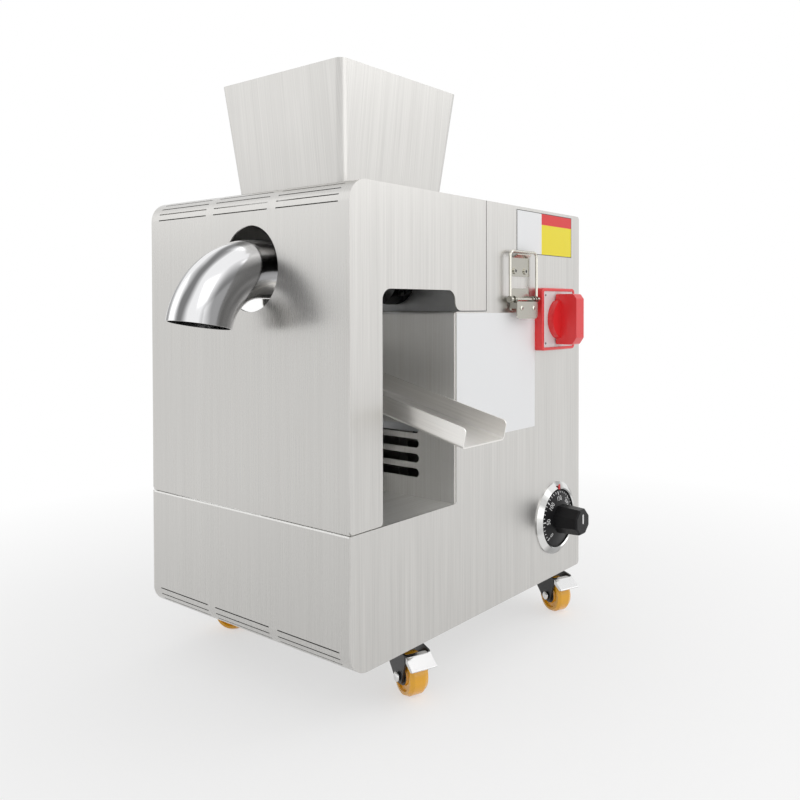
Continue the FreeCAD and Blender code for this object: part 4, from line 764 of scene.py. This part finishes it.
class PRESS_OT_latch(bpy.types.Operator):
    """Plate the toggle latch and set its screws and rivets"""

    bl_idname = "press.latch"
    bl_label = "Toggle latch"

    def execute(self, context):
        # The plating's colour carries painted reflection, darker in patches by the way it faces
        plated = polished_steel("latch_plating_painted_reflection", (0.80, 0.78, 0.70), 0.16, contrast=0.5)
        paint(plated, "latch_base", "latch_keeper", "latch_lever", "latch_loop")
        # Painted shade: dark crosses stand in for the shade inside the screws' cross recesses
        dark = moulded_plastic("screw_recess", (0.05, 0.05, 0.05), 0.5)
        low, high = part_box("latch_lever")
        middle = (low[1] + high[1]) / 2
        heads = bmesh.new()
        marks = bmesh.new()
        for side in (-1, 1):
            point = (high[0], middle + side * RIVET_SPREAD, low[2] + RIVET_RISE)
            add_screw_head(heads, outward(point, (1, 0, 0)), RIVET_HEAD)
            add_recess_shade_cross(marks, outward(point, (1, 0, 0)), RIVET_HEAD)
        make_piece("latch_lever_rivets", heads, plated, "latch_handle", True)
        make_piece("latch_lever_recess_shade", marks, dark, "latch_handle")
        low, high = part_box("latch_keeper")
        middle = (low[1] + high[1]) / 2
        marks = bmesh.new()
        for side in (-1, 1):
            point = (low[0] + KEEPER_FACE - KEEPER_SINK, middle + side * KEEPER_SPREAD,
                     low[2] + KEEPER_RISE)
            add_recess_shade_cross(marks, outward(point, (1, 0, 0)), KEEPER_HEAD)
        make_piece("latch_keeper_recess_shade", marks, dark, "casing")
        return {"FINISHED"}


# A castor's axle and hub, in metres from the middle of the wheel
AXLE_END = 0.0134
AXLE_HEAD = 0.0042  # radius of the rivet's head
HUB_FACE = 0.0084
WHEEL_CAP = ((0.0082, 0.0), (0.0082, 0.0006), (0.0072, 0.001), (0.0034, 0.001), (0.0034, 0.0))


class PRESS_OT_castors(bpy.types.Operator):
    """Mould the castor wheels in orange, paint the forks, plate the pedals, set the rivets"""

    bl_idname = "press.castors"
    bl_label = "Castors"

    def execute(self, context):
        colors = context.scene.press_colors
        orange = moulded_plastic("wheel_orange", tuple(colors.wheel_orange), 0.22,
                                 texture=0.05, coat=0.5)
        black = cast_paint("fork_black", (0.012, 0.012, 0.013), 0.34)
        bright = polished_steel("pedal_plating", (0.80, 0.80, 0.80), 0.18)
        hub = moulded_plastic("hub_black", (0.015, 0.015, 0.016), 0.4)
        paint(polished_steel("stem_zinc", (0.68, 0.68, 0.66), 0.3), "caster_stems")
        for corner in CORNERS:
            paint(orange, "caster_wheel_" + corner)
            paint(black, "caster_fork_" + corner)
            paint(bright, "caster_pedal_" + corner)
            roll = joint_named("roll_" + corner)
            centre = Vector(roll["pos_m"])
            axle = Vector(roll["axis"])
            rivets = bmesh.new()
            caps = bmesh.new()
            for side in (-1, 1):
                seat = outward(centre + axle * side * AXLE_END, axle * side)
                add_screw_head(rivets, seat, AXLE_HEAD)
                cap = outward(centre + axle * side * HUB_FACE, axle * side)
                add_lathe(caps, WHEEL_CAP, cap, 40)
            make_piece("axle_rivets_" + corner, rivets, bright, "caster_" + corner,
                       True)
            make_piece("wheel_caps_" + corner, caps, hub, "wheel_" + corner,
                       True)
        return {"FINISHED"}


# Bare labels, in metres: back from the side's front edge, from and to, then down from its top
BORDER = 0.0006
NOTICE = (0.2230, 0.3270, 0.0030, 0.0460)
LABEL_FIELDS = (
    ("notice_label_white", "white", 0.2230, 0.2676, 0.0030, 0.0460),
    ("notice_label_red", "red", 0.2676, 0.3270, 0.0030, 0.0148),
    ("notice_label_yellow", "yellow", 0.2676, 0.3270, 0.0148, 0.0460),
    ("operating_label", "white", 0.1290, 0.2550, 0.1050, 0.2210),
)


class PRESS_OT_labels(bpy.types.Operator):
    """Lay two bare labels on the right side: a notice field and a large white sheet"""

    bl_idname = "press.labels"
    bl_label = "Bare labels"

    def execute(self, context):
        colors = context.scene.press_colors
        films = {
            "white": label_film("label_white", (0.93, 0.94, 0.95)),
            "red": label_film("label_red", tuple(colors.label_red)),
            "yellow": label_film("label_yellow", tuple(colors.label_yellow)),
            "ink": label_film("label_border", (0.03, 0.03, 0.03)),
        }
        low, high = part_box("right_side_panel")
        face, front, top = high[0], low[1], high[2]

        def lay(bm, field, radius, steps, thickness):
            """Lays one plate on the side, by its distances back and down."""
            back0, back1, down0, down1 = field
            centre = (face, front + (back0 + back1) / 2, top - (down0 + down1) / 2)
            outline = rounded_outline(back1 - back0, down1 - down0, radius, steps)
            add_plate(bm, outline, thickness, outward(centre, (1, 0, 0)))

        back0, back1, down0, down1 = NOTICE
        edges = ((back0, back0 + BORDER, down0, down1), (back1 - BORDER, back1, down0, down1),
                 (back0, back1, down0, down0 + BORDER), (back0, back1, down1 - BORDER, down1))
        bm = bmesh.new()
        for edge in edges:
            lay(bm, edge, BORDER / 3, 1, 0.00024)
        make_piece("notice_label_border", bm, films["ink"], "casing")
        for name, film, *field in LABEL_FIELDS:
            bm = bmesh.new()
            lay(bm, field, 0.0009, 3, 0.00018)
            make_piece(name, bm, films[film], "casing")
        return {"FINISHED"}


# The rear cover's eight screws, in metres in from its edges
COVER_ACROSS, COVER_UP = 0.010, 0.022
COVER_HEAD = 0.0030


class PRESS_OT_back(bpy.types.Operator):
    """Colour the mains inlet and set the rear cover's screws"""

    bl_idname = "press.back"
    bl_label = "Rear fasteners and inlet"

    def execute(self, context):
        paint(moulded_plastic("inlet_black", (0.02, 0.02, 0.021), 0.45), "power_inlet")
        zinc = polished_steel("cover_screws", (0.70, 0.70, 0.68), 0.25)
        # Painted shade: dark crosses stand in for the shade inside the screws' cross recesses
        dark = moulded_plastic("cover_recess_painted_shade", (0.05, 0.05, 0.05), 0.5)
        low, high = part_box("rear_cover")
        columns = (low[0] + COVER_ACROSS, (low[0] + high[0]) / 2, high[0] - COVER_ACROSS)
        rows = (low[2] + COVER_UP, (low[2] + high[2]) / 2, high[2] - COVER_UP)
        heads = bmesh.new()
        marks = bmesh.new()
        for column, x in enumerate(columns):
            for row, z in enumerate(rows):
                if column == row == 1:
                    continue
                place = outward((x, high[1], z), (0, 1, 0))
                add_screw_head(heads, place, COVER_HEAD)
                add_recess_shade_cross(marks, place, COVER_HEAD)
        make_piece("cover_screw_heads", heads, zinc, "casing", True)
        make_piece("cover_screw_recess_shade", marks, dark, "casing")
        return {"FINISHED"}


# ---- stage -----------------------------------------------------------------------------------
def white_for_sight(world, strength_for_light):
    """World background: white where it is seen directly or mirrored, softer as light."""
    nodes = Nodes(world.node_tree)
    background = nodes.tree.nodes["Background"]
    nodes.feed(background.inputs["Color"], (1.0, 1.0, 1.0, 1.0))
    strength = nodes.seen().spread(0.0, 1.0, strength_for_light, 1.0)
    nodes.feed(background.inputs["Strength"], strength)


def white_away_from_centre(finish, near, far, least):
    """Fades what is seen of the floor to plain white with distance, keeping the shadow near."""
    settings = {"operation": "LENGTH"}
    away = finish.node("ShaderNodeVectorMath", settings, (finish.place(),), "Value")
    amount = finish.seen() * away.spread(near, far, least, 1.0)
    white = finish.node("ShaderNodeEmission", None, {"Color": (1.0, 1.0, 1.0, 1.0)})
    surface = Value(finish, finish.shader.outputs["BSDF"])
    mixed = finish.node("ShaderNodeMixShader", None, (amount, surface, white))
    finish.feed(finish.tree.nodes["Material Output"].inputs["Surface"], mixed)


def add_lamp(name, place, aim, size, power):
    """Adds a rectangular lamp that shines at a point."""
    data = bpy.data.lights.new(name, "AREA")
    data.shape = "RECTANGLE"
    data.size, data.size_y = size
    data.energy = power
    lamp = bpy.data.objects.new(name, data)
    bpy.context.scene.collection.objects.link(lamp)
    lamp.location = place
    lamp.rotation_mode = "QUATERNION"
    lamp.rotation_quaternion = (Vector(aim) - Vector(place)).to_track_quat("-Z", "Y")


SENSOR_WIDTH = 36.0  # millimetres
FLOOR_REACH = 6.0  # metres from the middle to the floor's edge
# Lamps: name, place, aim, size and share of the lamp power
LAMPS = (
    ("key_lamp", (1.3, -1.1, 1.6), (0, 0, 0.25), (1.0, 1.0), 0.10),
    ("fill_lamp", (-1.4, -1.2, 1.1), (0, 0, 0.25), (1.2, 1.2), 0.09),
    ("top_lamp", (-0.2, 0.5, 1.9), (0, 0, 0.3), (1.2, 0.8), 0.10),
    ("side_lamp", (1.4, 1.1, 1.5), (0, 0, 0.3), (1.4, 1.4), 0.40),
    ("low_lamp", (1.6, -0.2, 0.45), (0, 0, 0.25), (1.4, 0.9), 0.16),
    ("back_lamp", (1.6, 1.3, 0.6), (0, 0, 0.25), (1.0, 1.0), 0.03),
)


class PRESS_OT_stage(bpy.types.Operator):
    """Set the camera, the pale floor, the white surroundings and the soft lamps"""

    bl_idname = "press.stage"
    bl_label = "Stage"

    def execute(self, context):
        stage = context.scene.press_stage
        camera_data = bpy.data.cameras.new("camera")
        camera_data.lens = stage.lens
        camera_data.sensor_width = SENSOR_WIDTH
        camera_data.shift_x, camera_data.shift_y = stage.camera_shift
        camera_data.clip_start = 0.01
        camera = bpy.data.objects.new("camera", camera_data)
        context.scene.collection.objects.link(camera)
        camera.location = stage.camera_place
        camera.rotation_euler = (math.radians(90.0) - stage.camera_dip, 0.0, stage.camera_turn)
        context.scene.camera = camera
        context.scene.view_settings.view_transform = "Standard"

        finish = Finish("pale_floor", tuple(stage.floor_color), 0.9)
        specks = finish.noise(finish.place(), 300.0)
        finish.bump(specks, strength=0.02, distance=0.0005)
        white_away_from_centre(finish, near=0.15, far=0.85, least=0.55)
        bm = bmesh.new()
        bmesh.ops.create_grid(bm, x_segments=2, y_segments=2, size=FLOOR_REACH)
        mesh = bpy.data.meshes.new("floor")
        bm.to_mesh(mesh)
        bm.free()
        mesh.materials.append(finish.material)
        floor = bpy.data.objects.new("floor", mesh)
        context.scene.collection.objects.link(floor)

        world = bpy.data.worlds.new("surroundings")
        context.scene.world = world
        world.use_nodes = True
        white_for_sight(world, stage.world_light)
        for name, place, aim, size, share in LAMPS:
            add_lamp(name, place, aim, size, stage.lamp_power * share)
        return {"FINISHED"}


class PRESS_PT_pieces(bpy.types.Panel):
    """Lists the pieces of the oil press and their settings"""

    bl_label = "Oil Press"
    bl_idname = "PRESS_PT_pieces"
    bl_space_type = "VIEW_3D"
    bl_region_type = "UI"
    bl_category = "Oil Press"

    def draw(self, context):
        for operator in OPERATORS:
            self.layout.operator(operator.bl_idname)
        for group in SETTINGS:
            box = self.layout.box()
            for name in SETTINGS[group].__annotations__:
                box.prop(getattr(context.scene, group), name)


SETTINGS = {
    "press_steel": SteelSettings,
    "press_colors": ColorSettings,
    "press_dial": DialSettings,
    "press_stage": StageSettings,
}
OPERATORS = (
    PRESS_OT_stage,
    PRESS_OT_casing,
    PRESS_OT_hopper,
    PRESS_OT_chute,
    PRESS_OT_elbow,
    PRESS_OT_press_line,
    PRESS_OT_drive,
    PRESS_OT_switch,
    PRESS_OT_dial,
    PRESS_OT_latch,
    PRESS_OT_castors,
    PRESS_OT_labels,
    PRESS_OT_back,
)


def register():
    for group, settings in SETTINGS.items():
        bpy.utils.register_class(settings)
        setattr(bpy.types.Scene, group, bpy.props.PointerProperty(type=settings))
    for operator in OPERATORS:
        bpy.utils.register_class(operator)
    bpy.utils.register_class(PRESS_PT_pieces)


def unregister():
    bpy.utils.unregister_class(PRESS_PT_pieces)
    for operator in reversed(OPERATORS):
        bpy.utils.unregister_class(operator)
    for group, settings in reversed(list(SETTINGS.items())):
        delattr(bpy.types.Scene, group)
        bpy.utils.unregister_class(settings)


def main():
    register()
    for operator in OPERATORS:
        family, name = operator.bl_idname.split(".")
        getattr(getattr(bpy.ops, family), name)()


if __name__ == "__main__":
    main()
